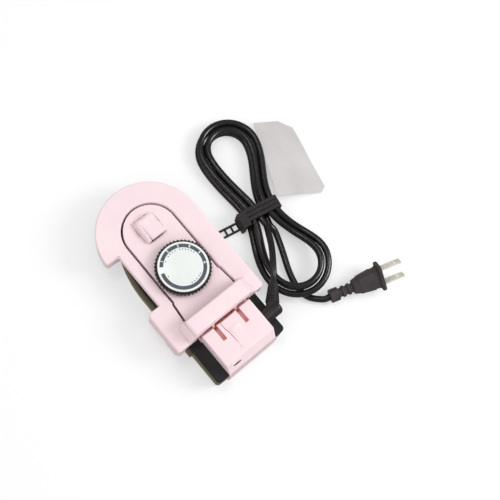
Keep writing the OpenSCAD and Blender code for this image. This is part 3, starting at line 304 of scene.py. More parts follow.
def cordVinyl():
    # PVC sheath, extruded: satin black with faint drag lines along the lead (V runs along it)
    material, tree, shader = newMaterial("vinylCordExtruded", IOR=1.53, Specular_IOR_Level=0.8)
    uv = addNode(tree, "ShaderNodeUVMap", {"uv_map": "lead"}).outputs["UV"]
    drawn = {"Vector": mapped(tree, uv, (3.0, 6.0, 1.0)), "Scale": 4.0, "Detail": 3.0}
    drag = addNode(tree, "ShaderNodeTexNoise", inputs=drawn).outputs["Fac"]
    scuff = noise(tree, objectCoords(tree), 6, 3)
    setInputs(tree, shader, {
        "Base Color": blendTones(tree, noiseTo(tree, scuff, 0.0, 1.0, 0.35), "100D10", "191519"),
        "Roughness": noiseTo(tree, drag, 0.24, 0.32),
        "Normal": bump(tree, drag, 0.008)})
    return material

def filmSheet():
    # polypropylene film, blown: milky, half clear, with soft creases
    material, tree, shader = newMaterial("polypropyleneFilm", IOR=1.49, Roughness=0.35,
                                         Transmission_Weight=0.25)
    haze = noise(tree, objectCoords(tree, (1, 0.4, 1)), 14, 3)
    setInputs(tree, shader, {
        "Base Color": blendTones(tree, noiseTo(tree, haze, 0.0, 1.0), "E2DEDD", "D6D2D1"),
        "Normal": bump(tree, haze, 0.15)})
    return material

leadVinyl = cordVinyl()
tagFilm = filmSheet()

slotMaterials = {
    "pink_plastic": pinkAbs, "black_plastic": blackPhenolic, "polished_aluminium": polishedAluminium,
    "plain_steel": plainSteel, "contact_brass": contactBrass, "ceramic": steatite, "plug_vinyl": plugVinyl,
    "wire_sleeve": sleeveSilicone, "lead_rubber": bootVinyl, "tie_rubber": tieRubber, "tag_film": tagFilm,
    "nickelled_brass": nickelBlade, "rose_pad": rosePad, "dial_black": dialAcetal, "dial_disc": dialWhite}
slotOf = {part["node"]: part["material_slot"] for part in frame["record"]["subparts"]}

def setMaterial(mesh, material):
    mesh.materials.clear()
    mesh.materials.append(material)

for nodeName, obj in nodes.items():
    setMaterial(obj.data, slotMaterials[slotOf[nodeName]])
print("materials made:", len(bpy.data.materials))

# ---------- camera, lights and floor

camera = {"place": (-0.1272, -0.1008, 0.6491), "right": (0.7542, -0.6450, 0.1233),
          "up": (0.5987, 0.7526, 0.2742), "back": (-0.2696, -0.1329, 0.9537),
          "focal": 866.94, "width": 500, "sensor": 36.0, "nearest": 0.01}

def makeCamera():
    data = bpy.data.cameras.new("studioCamera")
    data.sensor_width = camera["sensor"]
    data.sensor_fit = "HORIZONTAL"
    data.lens = camera["focal"] * camera["sensor"] / camera["width"]
    data.clip_start = camera["nearest"]
    obj = sceneLink(bpy.data.objects.new("studioCamera", data))
    turn = Matrix((camera["right"], camera["up"], camera["back"])).transposed()
    obj.matrix_world = Matrix.Translation(camera["place"]) @ turn.to_4x4()
    bpy.context.scene.camera = obj

lamps = [
    {"name": "keySoft", "place": (0.5, -0.36, 0.52), "size": 0.3, "watts": 2.5},
    {"name": "frontFill", "place": (-0.02, 0.3, 0.9), "size": 0.2, "watts": 0.8}]
studio = {"aim": (0.03, 0.0, 0.0), "ambient": 0.8, "seen": 0.84, "mirrored": 0.2}
paper = {"tones": ("FDFDFD", "FCFCFD"), "size": 3.0, "rough": 0.7, "fibre": 40, "lift": 0.45,
         "mirroredTone": "9C9384", "mirroredLevel": 0.8}

def makeLamps():
    for lamp in lamps:
        data = bpy.data.lights.new(lamp["name"], "AREA")
        data.energy = lamp["watts"]
        data.size = lamp["size"]
        obj = sceneLink(bpy.data.objects.new(lamp["name"], data))
        obj.location = lamp["place"]
        aim = Vector(studio["aim"]) - Vector(lamp["place"])
        obj.rotation_euler = aim.to_track_quat("-Z", "Y").to_euler()

def makeWorld():
    # an even white room, dimmer in mirrors and a little brighter behind things
    world = bpy.data.worlds.new("studioWorld")
    bpy.context.scene.world = world
    world.use_nodes = True
    tree = world.node_tree
    path = addNode(tree, "ShaderNodeLightPath")
    seen = maths(tree, "MAXIMUM", path.outputs["Is Camera Ray"], path.outputs["Is Transmission Ray"])
    mirrored = spread(tree, path.outputs["Is Glossy Ray"], 0, 1, studio["ambient"], studio["mirrored"])
    direct = spread(tree, seen, 0, 1, 0, studio["seen"])
    setInputs(tree, tree.nodes["Background"], {"Color": (1, 1, 1, 1),
                                               "Strength": maths(tree, "MAXIMUM", mirrored, direct)})

def makeFloor():
    material, tree, shader = newMaterial("paperSweepFloor", Roughness=paper["rough"])
    fibre = noise(tree, objectCoords(tree), paper["fibre"], 2)
    setInputs(tree, shader, {"Base Color": blendTones(tree, fibre, *paper["tones"])})
    path = addNode(tree, "ShaderNodeLightPath")
    # polished metal and black parts mirror a dim table, as they do under a dark ceiling
    dim = addNode(tree, "ShaderNodeEmission", inputs={
        "Color": hexTone(paper["mirroredTone"]), "Strength": paper["mirroredLevel"]})
    # the table looks lit from everywhere to the camera, so that shadows on it stay pale
    glow = addNode(tree, "ShaderNodeEmission", inputs={"Color": hexTone(paper["tones"][0]), "Strength": 1.0})
    lift = spread(tree, path.outputs["Is Camera Ray"], 0, 1, 0, paper["lift"])
    table = addNode(tree, "ShaderNodeMixShader", inputs={0: lift, 1: shader.outputs[0], 2: glow.outputs[0]})
    both = addNode(tree, "ShaderNodeMixShader", inputs={
        0: path.outputs["Is Glossy Ray"], 1: table.outputs[0], 2: dim.outputs[0]})
    setInputs(tree, tree.nodes["Material Output"], {"Surface": both.outputs[0]})
    half = paper["size"] / 2
    corners = [(-half, -half, 0), (half, -half, 0), (half, half, 0), (-half, half, 0)]
    floor = meshObject("paperFloor", corners, [(0, 1, 2, 3)], material)

makeCamera()
makeLamps()
makeWorld()
makeFloor()
bpy.context.scene.view_settings.view_transform = "Standard"
print("studio set")

# ---------- mains lead: from the boot, through the hank, to the plug

lead = {"diameter": 5.2, "sides": 14, "ringsPerTurn": 96, "gap": 0.8, "turns": 3.5, "at": (81, 8),
        "turn": 10.5, "lean": 3.5, "leanOver": 50, "foldHalf": 15.8, "farFold": 72, "nearFold": 65,
        "waistPitch": 5.8, "waistHalf": 3.0, "runShare": 0.25, "layer": 5.8, "layerOver": 0.5,
        "nearLift": (24, 34), "bandLift": 1.8, "bandReach": 26, "leadIn": 0.01, "wayStep": 84,
        "ease": 0.8, "curveSteps": 6, "inside": 2}
boot = {"elbow": (31.4, -60, 24), "angle": 45, "dip": 8, "length": 23, "diameter": 10.8, "neck": 7.0,
        "face": 22.5, "inside": 4.0}
plug = {"at": (79, -78.6, 5.8), "turn": -18, "rise": 8.8, "roll": 40, "relief": 19, "body": 22,
        "collar": 5.4, "rib": 4.6}
leadMid = [(55, -35.5, 20), (61.5, -27.5, 18.6), (67.5, -19.5, 16), (72.5, -11.5, 13)]
tailMid = [(81, -11, 3.2), (77.5, -21.5, 2.7), (73, -32, 2.7), (68.5, -42.5, 2.7), (65.5, -53, 2.7),
           (65, -62, 2.7), (67.5, -69.5, 3)]
bootWay = wayOf(boot["angle"], -boot["dip"])
plugWay = wayOf(plug["turn"], plug["rise"])

def hankPlace(u, q, z):
    # u runs along the hank and q across it; its two ends lean apart a little
    lean = lead["lean"] * smoothStep(abs(u) / lead["leanOver"])
    angle = radians(lead["turn"] + (lean if u > 0 else -lean))
    return Vector((lead["at"][0] + u * sin(angle) + q * cos(angle),
                   lead["at"][1] + u * cos(angle) - q * sin(angle), z))

def halfTurn(k, g, reach):
    # along and across, for the half turn on one side of the waist
    pitch = lead["diameter"] + lead["gap"]
    fold = lead["foldHalf"] + pitch * k
    straight = reach + pitch * k - fold
    waist = lead["waistHalf"] + lead["waistPitch"] * k
    share = lead["runShare"]
    if g < share:
        return straight * g / share, waist + (fold - waist) * smoothStep(g / share)
    if g > 1 - share:
        return straight * (1 - g) / share, -(waist + (fold - waist) * smoothStep((1 - g) / share))
    a = pi * (g - share) / (1 - 2 * share)
    return straight + fold * sin(a), fold * cos(a)

def hankPoint(t):
    # t counts turns: outward in the upper layer, then back inward in the lower one
    phase = t % 1
    back = lead["turns"] / 2
    k = t if t < back else 2 * back - t
    if phase < 0.5:
        u, q = halfTurn(k, phase * 2, lead["farFold"])
    else:
        u, q = halfTurn(k, phase * 2 - 1, lead["nearFold"])
        u, q = -u, -q
    over, (liftFrom, liftOver) = lead["layerOver"], lead["nearLift"]
    upper = lead["layer"] * (1 - smoothStep((t - back + over / 2) / over))
    band = lead["bandLift"] * (1 - smoothStep(abs(u) / lead["bandReach"]))
    near = lead["layer"] * smoothStep((-u - liftFrom) / liftOver)
    return hankPlace(u, -q, lead["diameter"] / 2 + upper + band + near)

def throughPoints(points):
    # a smooth curve through given points
    out = []
    last, steps = len(points) - 1, lead["curveSteps"]
    for i in range(last):
        p0, p1, p2, p3 = points[max(i - 1, 0)], points[i], points[i + 1], points[min(i + 2, last)]
        for j in range(steps):
            t = j / steps
            out.append(0.5 * (2 * p1 + (p2 - p0) * t + (2 * p0 - 5 * p1 + 4 * p2 - p3) * t * t
                              + (3 * p1 - p0 - 3 * p2 + p3) * t ** 3))
    return out + [points[last]]

def leadPath():
    d, ease, inside = lead["diameter"], lead["ease"], lead["inside"]
    span = lead["turns"] + 2 * lead["leadIn"]
    steps, far = round(span * lead["ringsPerTurn"]), lead["wayStep"]
    hank = [hankPoint(span * i / steps - lead["leadIn"]) for i in range(steps + 1)]
    ends = [hankPoint(span * i / far - lead["leadIn"]) for i in (0, 1, far - 1, far)]
    firstWay, lastWay = (ends[1] - ends[0]).normalized(), (ends[3] - ends[2]).normalized()
    first, last = hank[0] - d * firstWay, hank[-1] + d * lastWay
    bootEnd = Vector(boot["elbow"]) + boot["length"] * bootWay
    plugStart = Vector(plug["at"])
    toHank = throughPoints([bootEnd, bootEnd + d * bootWay] + [Vector(p) for p in leadMid]
                           + [first - ease * d * firstWay, first, hank[0]])
    toPlug = throughPoints([hank[-1], last, last + ease * d * lastWay] + [Vector(p) for p in tailMid]
                           + [plugStart - d * plugWay, plugStart])
    # both ends run on inside the boot and the plug's collar
    path = [bootEnd - inside * bootWay] + toHank[:-1] + hank + toPlug[1:] + [plugStart + inside * plugWay]
    return metres(path)

def sweep(name, path, profile, sides, material, uvName=None):
    # a round skin along a path; profile is its radius, or the radius at each point
    radii = profile if isinstance(profile, list) else [profile] * len(path)
    rings, side = [], None
    for i, point in enumerate(path):
        way = (path[min(i + 1, len(path) - 1)] - path[max(i - 1, 0)]).normalized()
        if side is None:
            side = way.cross(Vector((0, 0, 1))).normalized()
        side = (side - way * side.dot(way)).normalized()
        lift = side.cross(way)
        angles = [2 * pi * k / sides for k in range(sides)]
        rings.append([point + radii[i] * (cos(a) * side + sin(a) * lift) for a in angles])
    obj = loft(name, rings, material, 60)
    if uvName:
        # U goes once round and V counts girths along
        reached, girth = [0.0], 2 * pi * radii[0]
        for a, b in zip(path, path[1:]):
            reached.append(reached[-1] + (b - a).length)
        layer = obj.data.uv_layers.new(name=uvName)
        for loop in obj.data.loops:
            ring, k = divmod(loop.vertex_index, sides)
            layer.data[loop.index].uv = (k / sides, reached[ring] / girth)
    return obj

def pathLength(path):
    return sum((b - a).length for a, b in zip(path, path[1:]))

cordPath = leadPath()
mainsLead = sweep("mainsLead", cordPath, lead["diameter"] / 2 * mm, lead["sides"], leadVinyl, "lead")
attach(mainsLead, "base")
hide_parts("cord_lead", "cord_hank", "cord_tail")
print("lead laid:", round(pathLength(cordPath), 3), "m")

# ---------- boot: square-ended head and ribbed strain relief

bootLook = {"ribs": 7, "firstRib": 7.0, "ribStep": 2.1, "ribWidth": 1.25, "ribTaper": 0.42, "ribSoft": 0.4,
            "coneFrom": 6.4, "samples": 150, "root": ((0, 5.1), (4, 4.85), (8.6, 4.55)), "neckPlay": 0.03,
            "headEnd": 38.8, "headRound": 2.5, "grid": 0.3, "softPasses": 12, "soft": 0.6, "sides": 40}

def bootSweep(name, path, radii):
    return sweep(name, metres(path), metres(radii), bootLook["sides"], bootVinyl)

def bootHead():
    # head and the root of the relief, run together and smoothed
    elbow, half = Vector(boot["elbow"]), boot["diameter"] / 2
    face, end, bend = boot["face"], bootLook["headEnd"], bootLook["headRound"]
    start, neck = face - boot["inside"], boot["neck"] / 2 - bootLook["neckPlay"]
    # (X, radius) from inside the housing outward
    stations = [(start, 3.0), (start + 0.3, neck), (face, neck), (face + 0.02, half - 0.3),
                (face + 0.4, half)]
    stations += [(end + x, half + r) for x, r in arcPoints((-bend, -bend), bend, 90, 0, 6)] + [(end, 0.5)]
    head = bootSweep("bootHead", [Vector((x, elbow.y, elbow.z)) for x, r in stations],
                     [r for x, r in stations])
    root = bootSweep("bootRoot", [elbow + bootWay * d for d, r in bootLook["root"]],
                     [r for d, r in bootLook["root"]])
    united(head, root)
    grid = head.modifiers.new("grid", "REMESH")
    grid.mode = "VOXEL"
    grid.voxel_size = bootLook["grid"] * mm
    soft = head.modifiers.new("soft", "SMOOTH")
    soft.factor = bootLook["soft"]
    soft.iterations = bootLook["softPasses"]
    return applied(head)

def bootPiece():
    elbow, start, length = Vector(boot["elbow"]), bootLook["coneFrom"], boot["length"]
    thick, thin = (boot["diameter"] - 0.6) / 2, (lead["diameter"] + 1.6) / 2
    step, wide, samples = bootLook["ribStep"], bootLook["ribWidth"], bootLook["samples"]
    path, radii = [], []
    for i in range(samples + 1):
        d = start + (length - start) * i / samples
        cone = thick + (thin - thick) * d / length
        place = (d - bootLook["firstRib"]) / step
        index = min(bootLook["ribs"] - 1, max(0, int(place + 0.2)))
        offset = abs((place - index) * step - wide / 2)
        rib = 1 - smoothStep((offset - wide / 2 + 0.25) / bootLook["ribSoft"])
        ribTop = (boot["diameter"] - 0.1 - bootLook["ribTaper"] * index) / 2
        path.append(elbow + bootWay * d)
        radii.append(cone + max(0.0, ribTop - cone) * rib)
    # the end turns in to the lead
    for d, wall in ((length, 0.35), (length - 0.4, -0.1)):
        path.append(elbow + bootWay * d)
        radii.append(lead["diameter"] / 2 + wall)
    piece = united(bootSweep("cordBoot", path, radii), bootHead())
    smoothShade(piece, 45)
    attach(piece, "base")
    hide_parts("cord_boot")
    return piece

cordBoot = bootPiece()

# ---------- plug

plugLook = {"around": 56}

def plugRing(x, halfWide, halfThick, power):
    # rounded outline across the plug; power 2 is an ellipse, larger is squarer
    ring = []
    for i in range(plugLook["around"]):
        a = 2 * pi * i / plugLook["around"]
        c, s = cos(a), sin(a)
        reach = (abs(c) ** power + abs(s) ** power) ** (-1 / power)
        ring.append(Vector((x, halfWide * c * reach, -halfThick * s * reach)))
    return ring

def plugPieces():
    collar, rib, start = plug["collar"], plug["rib"] - 1, plug["relief"]
    front = start + plug["body"]
    place = (Matrix.Translation(Vector(plug["at"])) @ turned(plug["turn"], "Z") @ turned(-plug["rise"], "Y")
             @ turned(plug["roll"], "X"))
    # relief: (along, radius), a collar and two ribs
    relief = [(0, collar - 0.6), (0.5, collar), (6.9, collar), (7.4, collar - 0.5), (7.45, rib)]
    for x in (10, 14.6):
        relief += [(x, rib), (x + 0.05, rib + 0.6), (x + 0.4, rib + 1), (x + 2.2, rib + 1),
                   (x + 2.6, rib + 0.6), (x + 2.65, rib)]
    relief.append((start + 0.3, rib))
    # body: (along, half width, half thickness, squareness), a waisted grip and a flange
    body = [(start, 4.6, 3.8, 2.4), (start + 0.5, 5.4, 4.6, 3), (start + 5, 6.2, 4.9, 5),
            (start + 5.3, 6.6, 5.2, 6), (front - 5, 8.1, 5.4, 7), (front - 4.6, 7.7, 4.9, 7),
            (front - 1.2, 8.3, 5.0, 7), (front - 0.8, 8.6, 5.4, 7), (front, 8.6, 5.4, 7),
            (front + 0.02, 10.6, 6.1, 9), (front + 0.4, 11, 6.5, 10), (front + 2.5, 11, 6.5, 10),
            (front + 3, 10.5, 6, 9)]
    made = []
    for name, node, stations in (("plugRelief", "plug_relief", [(x, r, r, 2) for x, r in relief]),
                                 ("plugBody", "plug_body", body)):
        rings = [metres(place @ p for p in plugRing(*station)) for station in stations]
        piece = loft(name, rings, plugVinyl)
        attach(piece, "base")
        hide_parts(node)
        made.append(piece)
    return made

plugRelief, plugBody = plugPieces()

# ---------- rounded copies of the moulded and cast parts

rounding = {"flat": 0.4, "sharp": 28, "stray": 0.6, "proud": 0.01, "weld": 0.002, "least": 0.0005,
            "smooth": 40}

def roundedCopy(node, name, body, radius, segments, test, merge=True):
    # rounds the sharp edges whose middle, in mm, passes the test
    source = nodes[node]
    obj = source.copy()
    obj.data = source.data.copy()
    obj.name = name
    obj.parent = None
    for key in list(obj.keys()):
        del obj[key]
    sceneLink(obj)
    bm = bmesh.new()
    bm.from_mesh(obj.data)
    bmesh.ops.remove_doubles(bm, verts=bm.verts, dist=weldStep * mm)
    skin = BVHTree.FromBMesh(bm)
    if merge:
        bmesh.ops.dissolve_limit(bm, angle_limit=radians(rounding["flat"]), verts=bm.verts,
                                 edges=bm.edges, use_dissolve_boundaries=False)
    limit = radians(rounding["sharp"])
    sharp = [e for e in bm.edges if len(e.link_faces) == 2 and e.calc_face_angle(0) > limit
             and test((e.verts[0].co + e.verts[1].co) / 2 / mm)]
    bmesh.ops.bevel(bm, geom=sharp, offset=radius * mm, offset_type="OFFSET", segments=segments, profile=0.5,
                    affect="EDGES", clamp_overlap=False, miter_outer="ARC", miter_inner="ARC")
    # a corner that the rounding threw off the part comes back to its skin
    allowed = rounding["stray"] * radius * mm
    for vert in bm.verts:
        near, normal, index, away = skin.find_nearest(vert.co)
        if away > allowed or (vert.co - near).dot(normal) > rounding["proud"] * mm:
            vert.co = near
    bmesh.ops.remove_doubles(bm, verts=bm.verts, dist=rounding["weld"] * mm)
    bmesh.ops.dissolve_degenerate(bm, dist=rounding["least"] * mm, edges=bm.edges)
    bm.to_mesh(obj.data)
    bm.free()
    smoothShade(obj, rounding["smooth"])
    weights = obj.modifiers.new("evenNormals", "WEIGHTED_NORMAL")
    weights.keep_sharp = True
    applied(obj)
    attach(obj, body)
    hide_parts(node)
    return obj

def anywhere(p):
    return True

def clearOfButton(p):
    return p.z > 26 and not (abs(p.x - 0.6) < 9.3 and -9.5 < p.y - 46.4 < 10.2)

roundedCopy("handle_frame", "handleLoop", "handle", 1.3, 5, lambda p: p.z > 26.5)
roundedCopy("body_cover", "bodyCover", "base", 0.7, 3, clearOfButton)
roundedCopy("rear_housing", "rearHousing", "base", 0.8, 3, lambda p: p.z > 19 and abs(p.x) > 20)
roundedCopy("soleplate", "soleplateCast", "base", 0.4, 2, lambda p: p.z < 2.5)
roundedCopy("heat_skirt", "heatSkirt", "base", 0.5, 3, lambda p: p.z > 17.5)
plugBlades = roundedCopy("plug_blades", "plugBlades", "base", 0.25, 2, anywhere)
ladderTie = roundedCopy("cable_tie", "ladderTie", "base", 0.2, 2, anywhere, merge=False)
print("rounded copies made")

# ---------- thumb pieces: a shaped top over an outline, with upright sides

def along(points, step):
    # the closed outline again, with no stretch longer than the step
    out = []
    for a, b in zip(points, points[1:] + points[:1]):
        parts = max(1, ceil(dist(a, b) / step))
        out += [(a[0] + (b[0] - a[0]) * i / parts, a[1] + (b[1] - a[1]) * i / parts) for i in range(parts)]
    return out

def softMin(values, radius):
    # the least of the values, rounded where two are close
    least = values[0]
    for value in values[1:]:
        h = max(0.0, radius - abs(least - value)) / radius
        least = min(least, value) - h * h * radius / 4
    return least

dome = {"crowd": 0.8, "wall": 0.82, "smooth": 42}

def domePiece(name, outline, centre, topAt, low, rings, material, edge=0.25, hollow=None):
    # hollow: the height of the pocket under it, for a piece that goes down over something
    cx, cy = centre
    def ring(share, heightAt):
        spots = [(cx + (x - cx) * share, cy + (y - cy) * share) for x, y in outline]
        return [metres((x, y, heightAt(x, y))) for x, y in spots]
    verts, faces = [], []
    for i in range(1, rings + 1):
        verts += ring((i / rings) ** dome["crowd"], topAt)
    verts += ring(1, lambda x, y: topAt(x, y) - edge) + ring(1, lambda x, y: low)
    if hollow:
        verts += ring(dome["wall"], lambda x, y: low) + ring(dome["wall"], lambda x, y: hollow)
    count = len(outline)
    total = len(verts) // count
    verts.append(metres((cx, cy, topAt(cx, cy))))
    for i in range(total - 1):
        for k in range(count):
            n = (k + 1) % count
            faces.append((i * count + k, (i + 1) * count + k, (i + 1) * count + n, i * count + n))
    faces += [(len(verts) - 1, k, (k + 1) % count) for k in range(count)]
    faces.append(tuple((total - 1) * count + k for k in range(count - 1, -1, -1)))
    return smoothShade(outward(meshObject(name, verts, faces, material)), dome["smooth"])

cover = {"top": 27.0, "dish": (-0.9, 47.9), "dishRadius": 49.63, "dishDepth": 1.6, "air": 0.07}

def coverTop(x, y):
    # top of the cover, with the finger dish round the button
    top, radius, away = cover["top"], cover["dishRadius"], dist((x, y), cover["dish"])
    return min(top, top + radius - cover["dishDepth"] - sqrt(radius ** 2 - away ** 2))

button = {"at": (0.6, 46.4), "half": (8.96, 9.86), "rearIn": 0.1, "crown": (1.2, -1.0), "low": 23.2,
          "hollow": 28.0, "top": 32.0, "corner": 4.6, "foot": 3.4, "left": (30.1, 0.36), "right": (30.7, 1.3),
          "front": (29.0, 1.15), "soft": 1.7, "seam": -4.9, "seamWide": 0.34, "seamDeep": 0.75,
          "seamEnd": 4.5, "seamFade": 7, "step": 0.3, "rings": 56}
gapShade = {"in": 0.06, "span": (-5.3, 5.6), "foot": 0.6, "high": 1.9, "rise": 0.3, "stubWide": 1.1,
            "stubTop": 0.6, "stubAt": -9, "slitFrom": (0.6, -9.7), "slitTo": (0.35, -7.5), "slitLift": 0.25}

def buttonTop(x, y):
    # a rounded shoulder at the left with a seam beside it, a narrow one at the right, and a rounded front
    u, v = x - button["at"][0], y - button["at"][1]
    hx, hy, c = *button["half"], button["corner"]
    # distance in from the outline, with its front corners rounded
    cu, cv = abs(u) - (hx - c), v - (hy - c)
    inside = max(0, c - hypot(cu, cv) if cu > 0 and cv > 0 else min(hx - abs(u), hy - v))
    low = coverTop(x, y) + cover["air"]
    front = button["front"][0] + inside * button["front"][1] if v > 0 else 99.0
    left = button["left"][0] + (u + hx) * button["left"][1]
    right = button["right"][0] + (hx - u) * button["right"][1]
    top = softMin([button["top"], left, right, front, low + inside * button["foot"]], button["soft"])
    fade = smoothStep((hy - button["seamEnd"] - v) / button["seamFade"])
    top -= button["seamDeep"] * fade * exp(-((u - button["seam"]) / button["seamWide"]) ** 2)
    return max(low, top)

def buttonPiece():
    cx, cy = button["at"]
    hx, hy = button["half"]
    rear = cy - hy + button["rearIn"]
    shape = [(cx + hx, rear), (cx + hx, cy + hy), (cx - hx, cy + hy), (cx - hx, rear)]
    crown = (cx + button["crown"][0], cy + button["crown"][1])
    piece = domePiece("releaseButton", along(shape, button["step"]), crown, buttonTop, button["low"],
                      button["rings"], pinkAbs, hollow=button["hollow"])
    # painted shade: a black sheet stands for the dark of the gap, low along the rear wall, up its left end
    # and a short way into the seam
    y0, z0 = cy - hy + gapShade["in"], cover["top"] - gapShade["foot"]
    x0, x1 = [cx + x for x in gapShade["span"]]
    high, seamX, half = z0 + gapShade["high"], cx + button["seam"], gapShade["stubTop"]
    seamTop = buttonTop(seamX, cy + gapShade["stubAt"])
    rows = [(x0, y0, z0), (x1, y0, z0), (x1, y0, high), (x0, y0, high + gapShade["rise"]),
            (x0, y0, z0), (x0 + gapShade["stubWide"], y0, z0), (seamX + half, y0, seamTop),
            (seamX - half, y0, seamTop)]
    for (a, v), signs in ((gapShade["slitFrom"], (-1, 1)), (gapShade["slitTo"], (1, -1))):
        rows += [(seamX + sign * a, cy + v, seamTop + gapShade["slitLift"]) for sign in signs]
    shade = meshObject("buttonGap", [metres(row) for row in rows],
                       [(0, 1, 2, 3), (4, 5, 6, 7), (8, 9, 10, 11)], dialAcetal)
    for obj, slot in ((piece, "pink_plastic"), (shade, "black_plastic")):
        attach(obj, "button")
    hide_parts("release_button")

buttonPiece()

latch = {"right": 6.12, "rear": -64.4, "front": -43.4, "low": 31.2, "level": 33.1, "ridgeAt": -52.0,
         "ridge": 0.55, "ridgeFall": 14, "slope": 0.6, "slopeFall": 1.15, "wallRise": 1.15, "wallRun": 3.2,
         "dish": 0.75, "sideFade": (4, 3), "centre": (0.6, -53.5), "step": 0.45, "rings": 30,
         "leftSide": [(-43.4, -5.75), (-46.5, -5.8), (-49.5, -5.55), (-52, -4.95), (-55, -4.75), (-58, -4.6),
                      (-61.3, -4.5), (-64.4, -4.5)]}
latchTrim = {"lip": 2.0, "lipUnder": 1.5, "lipTop": 0.02, "lipLow": 0.06, "gap": 0.42, "gapFade": 5,
             "from": -48, "rearX": -4.9, "outerX": -6.15, "top": 33.0, "low": 31.4, "centre": (-5.55, -57)}

def latchLeft(y):
    side = latch["leftSide"]
    for (y0, x0), (y1, x1) in zip(side, side[1:]):
        if y >= y1:
            return x0 + (x1 - x0) * min(1, max(0, (y0 - y) / (y0 - y1)))
    return side[-1][1]

def latchTop(x, y):
    # thumb dish behind the bar, a ridge, then a slope that runs out level with the housing
    rightFade, leftFade = latch["sideFade"]
    across = smoothStep((latch["right"] - x) / rightFade) * smoothStep((x - latchLeft(y)) / leftFade)
    if y > latch["ridgeAt"]:
        t = min(1.0, (y - latch["ridgeAt"]) / latch["wallRun"])
        wall = max(0, latch["wallRise"] - latch["dish"] * smoothStep(t))
        return latch["level"] + wall * (0.35 + 0.65 * across)
    t = (latch["ridgeAt"] - y) / (latch["ridgeAt"] - latch["rear"])
    slope = latch["slope"] * (1 - smoothStep(t * latch["slopeFall"]))
    return latch["level"] + max(0, slope + latch["ridge"] * exp(-t * latch["ridgeFall"])) * across

def latchPiece():
    right, rear, front, level = latch["right"], latch["rear"], latch["front"], latch["level"]
    left = [(latchLeft(front - (front - rear) * i / 20), front - (front - rear) * i / 20) for i in range(21)]
    piece = domePiece("lockLatch", along([(right, rear), (right, front)] + left, latch["step"]),
                      latch["centre"], latchTop, latch["low"], latch["rings"], pinkAbs)
    # thin lip that covers the room the latch slides into
    lipEnd, under, leftX = rear - latchTrim["lip"], rear + latchTrim["lipUnder"], latch["leftSide"][-1][1]
    lipShape = [(right, lipEnd), (right, under), (leftX, under), (leftX, lipEnd)]
    lip = domePiece("latchLip", along(lipShape, 0.5), (latch["centre"][0], rear),
                    lambda x, y: level - latchTrim["lipTop"], level - latchTrim["lipLow"], 4, pinkAbs, 0.01)
    # strip of the housing between its opening and the latch, whose gap closes toward the rear
    strip = [(x - latchTrim["gap"] * min(1, max(0.05, (y - rear) / latchTrim["gapFade"])), y)
             for x, y in left if y < latchTrim["from"]]
    outer = latchTrim["outerX"]
    strip += [(latchTrim["rearX"], lipEnd), (outer, lipEnd), (outer, left[5][1])]
    edge = domePiece("latchEdge", along(strip[::-1], 0.5), latchTrim["centre"],
                     lambda x, y: latchTrim["top"], latchTrim["low"], 4, pinkAbs, 0.05)
    for obj in (piece, lip):
        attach(obj, "latch")
    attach(edge, "base")
    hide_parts("lock_latch")

latchPiece()

slit = {"x": (-17.4, -9.8), "z": 26.8, "half": 1.15, "wall": (-76.4, 18.0, 0.379), "proud": 0.03,
        "points": 24, "film": 0.4}

def slitShade():
    # painted shade: a black film just outside the rear wall stands for the dark of the housing's inside, seen
    # through the lens-shaped slit
    foot, low, slope = slit["wall"]
    mid, half = sum(slit["x"]) / 2, (slit["x"][1] - slit["x"][0]) / 2
    verts, count = [], slit["points"]
    for i in range(count):
        c, s = ringPoint((0, 0), 1, 360 * i / count)
        x, z = mid + half * c, slit["z"] + slit["half"] * s * abs(s) ** 0.3
        verts.append(metres((x, foot + (z - low) * slope - slit["proud"], z)))
    obj = meshObject("slitShade", verts, [tuple(range(count))], blackPhenolic)
    solid = obj.modifiers.new("film", "SOLIDIFY")
    solid.thickness = slit["film"] * mm
    applied(obj)
    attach(outward(obj), "base")

slitShade()
print("thumb pieces made")

# ---------- dial: ridged rim and printed disc

dial = {"at": (0, 6), "low": 28.0, "top": 34.0, "radius": 21.4, "ridges": 46, "ridge": 0.85,
        "ridgeHalf": 0.95, "bore": 3.06, "hub": 5.4, "ring": (14.7, 17.5), "gap": (143.6, 160.8),
        "dotAt": 13.4, "dot": 0.45, "ink": 0.02, "inkFoot": 0.002, "inkEdge": 0.03, "numerals": "123456",
        "numeralFrom": 128.0, "numeralStep": -31.0, "numeralSize": 3.105, "numeralBold": 0.08,
        "dots": (126.3, 107, 97.3, 87.8, 78.2, 62.7, 53.4, 44.3, 34.3, 25.1, 16, 298.6, 289.5, 278.5, 268.9,
                 259.2, 175.7)}

def revolve(name, profile, centre, sides, material, angle=35):
    # profile of (radius, height) points, closed into a ring
    verts, faces = [], []
    for k in range(sides):
        verts += [metres((*ringPoint(centre, r, 360 * k / sides), z)) for r, z in profile]
    n = len(profile)
    for k in range(sides):
        m = (k + 1) % sides
        faces += [(k * n + i, m * n + i, m * n + (i + 1) % n, k * n + (i + 1) % n) for i in range(n)]
    return smoothShade(outward(meshObject(name, verts, faces, material)), angle)

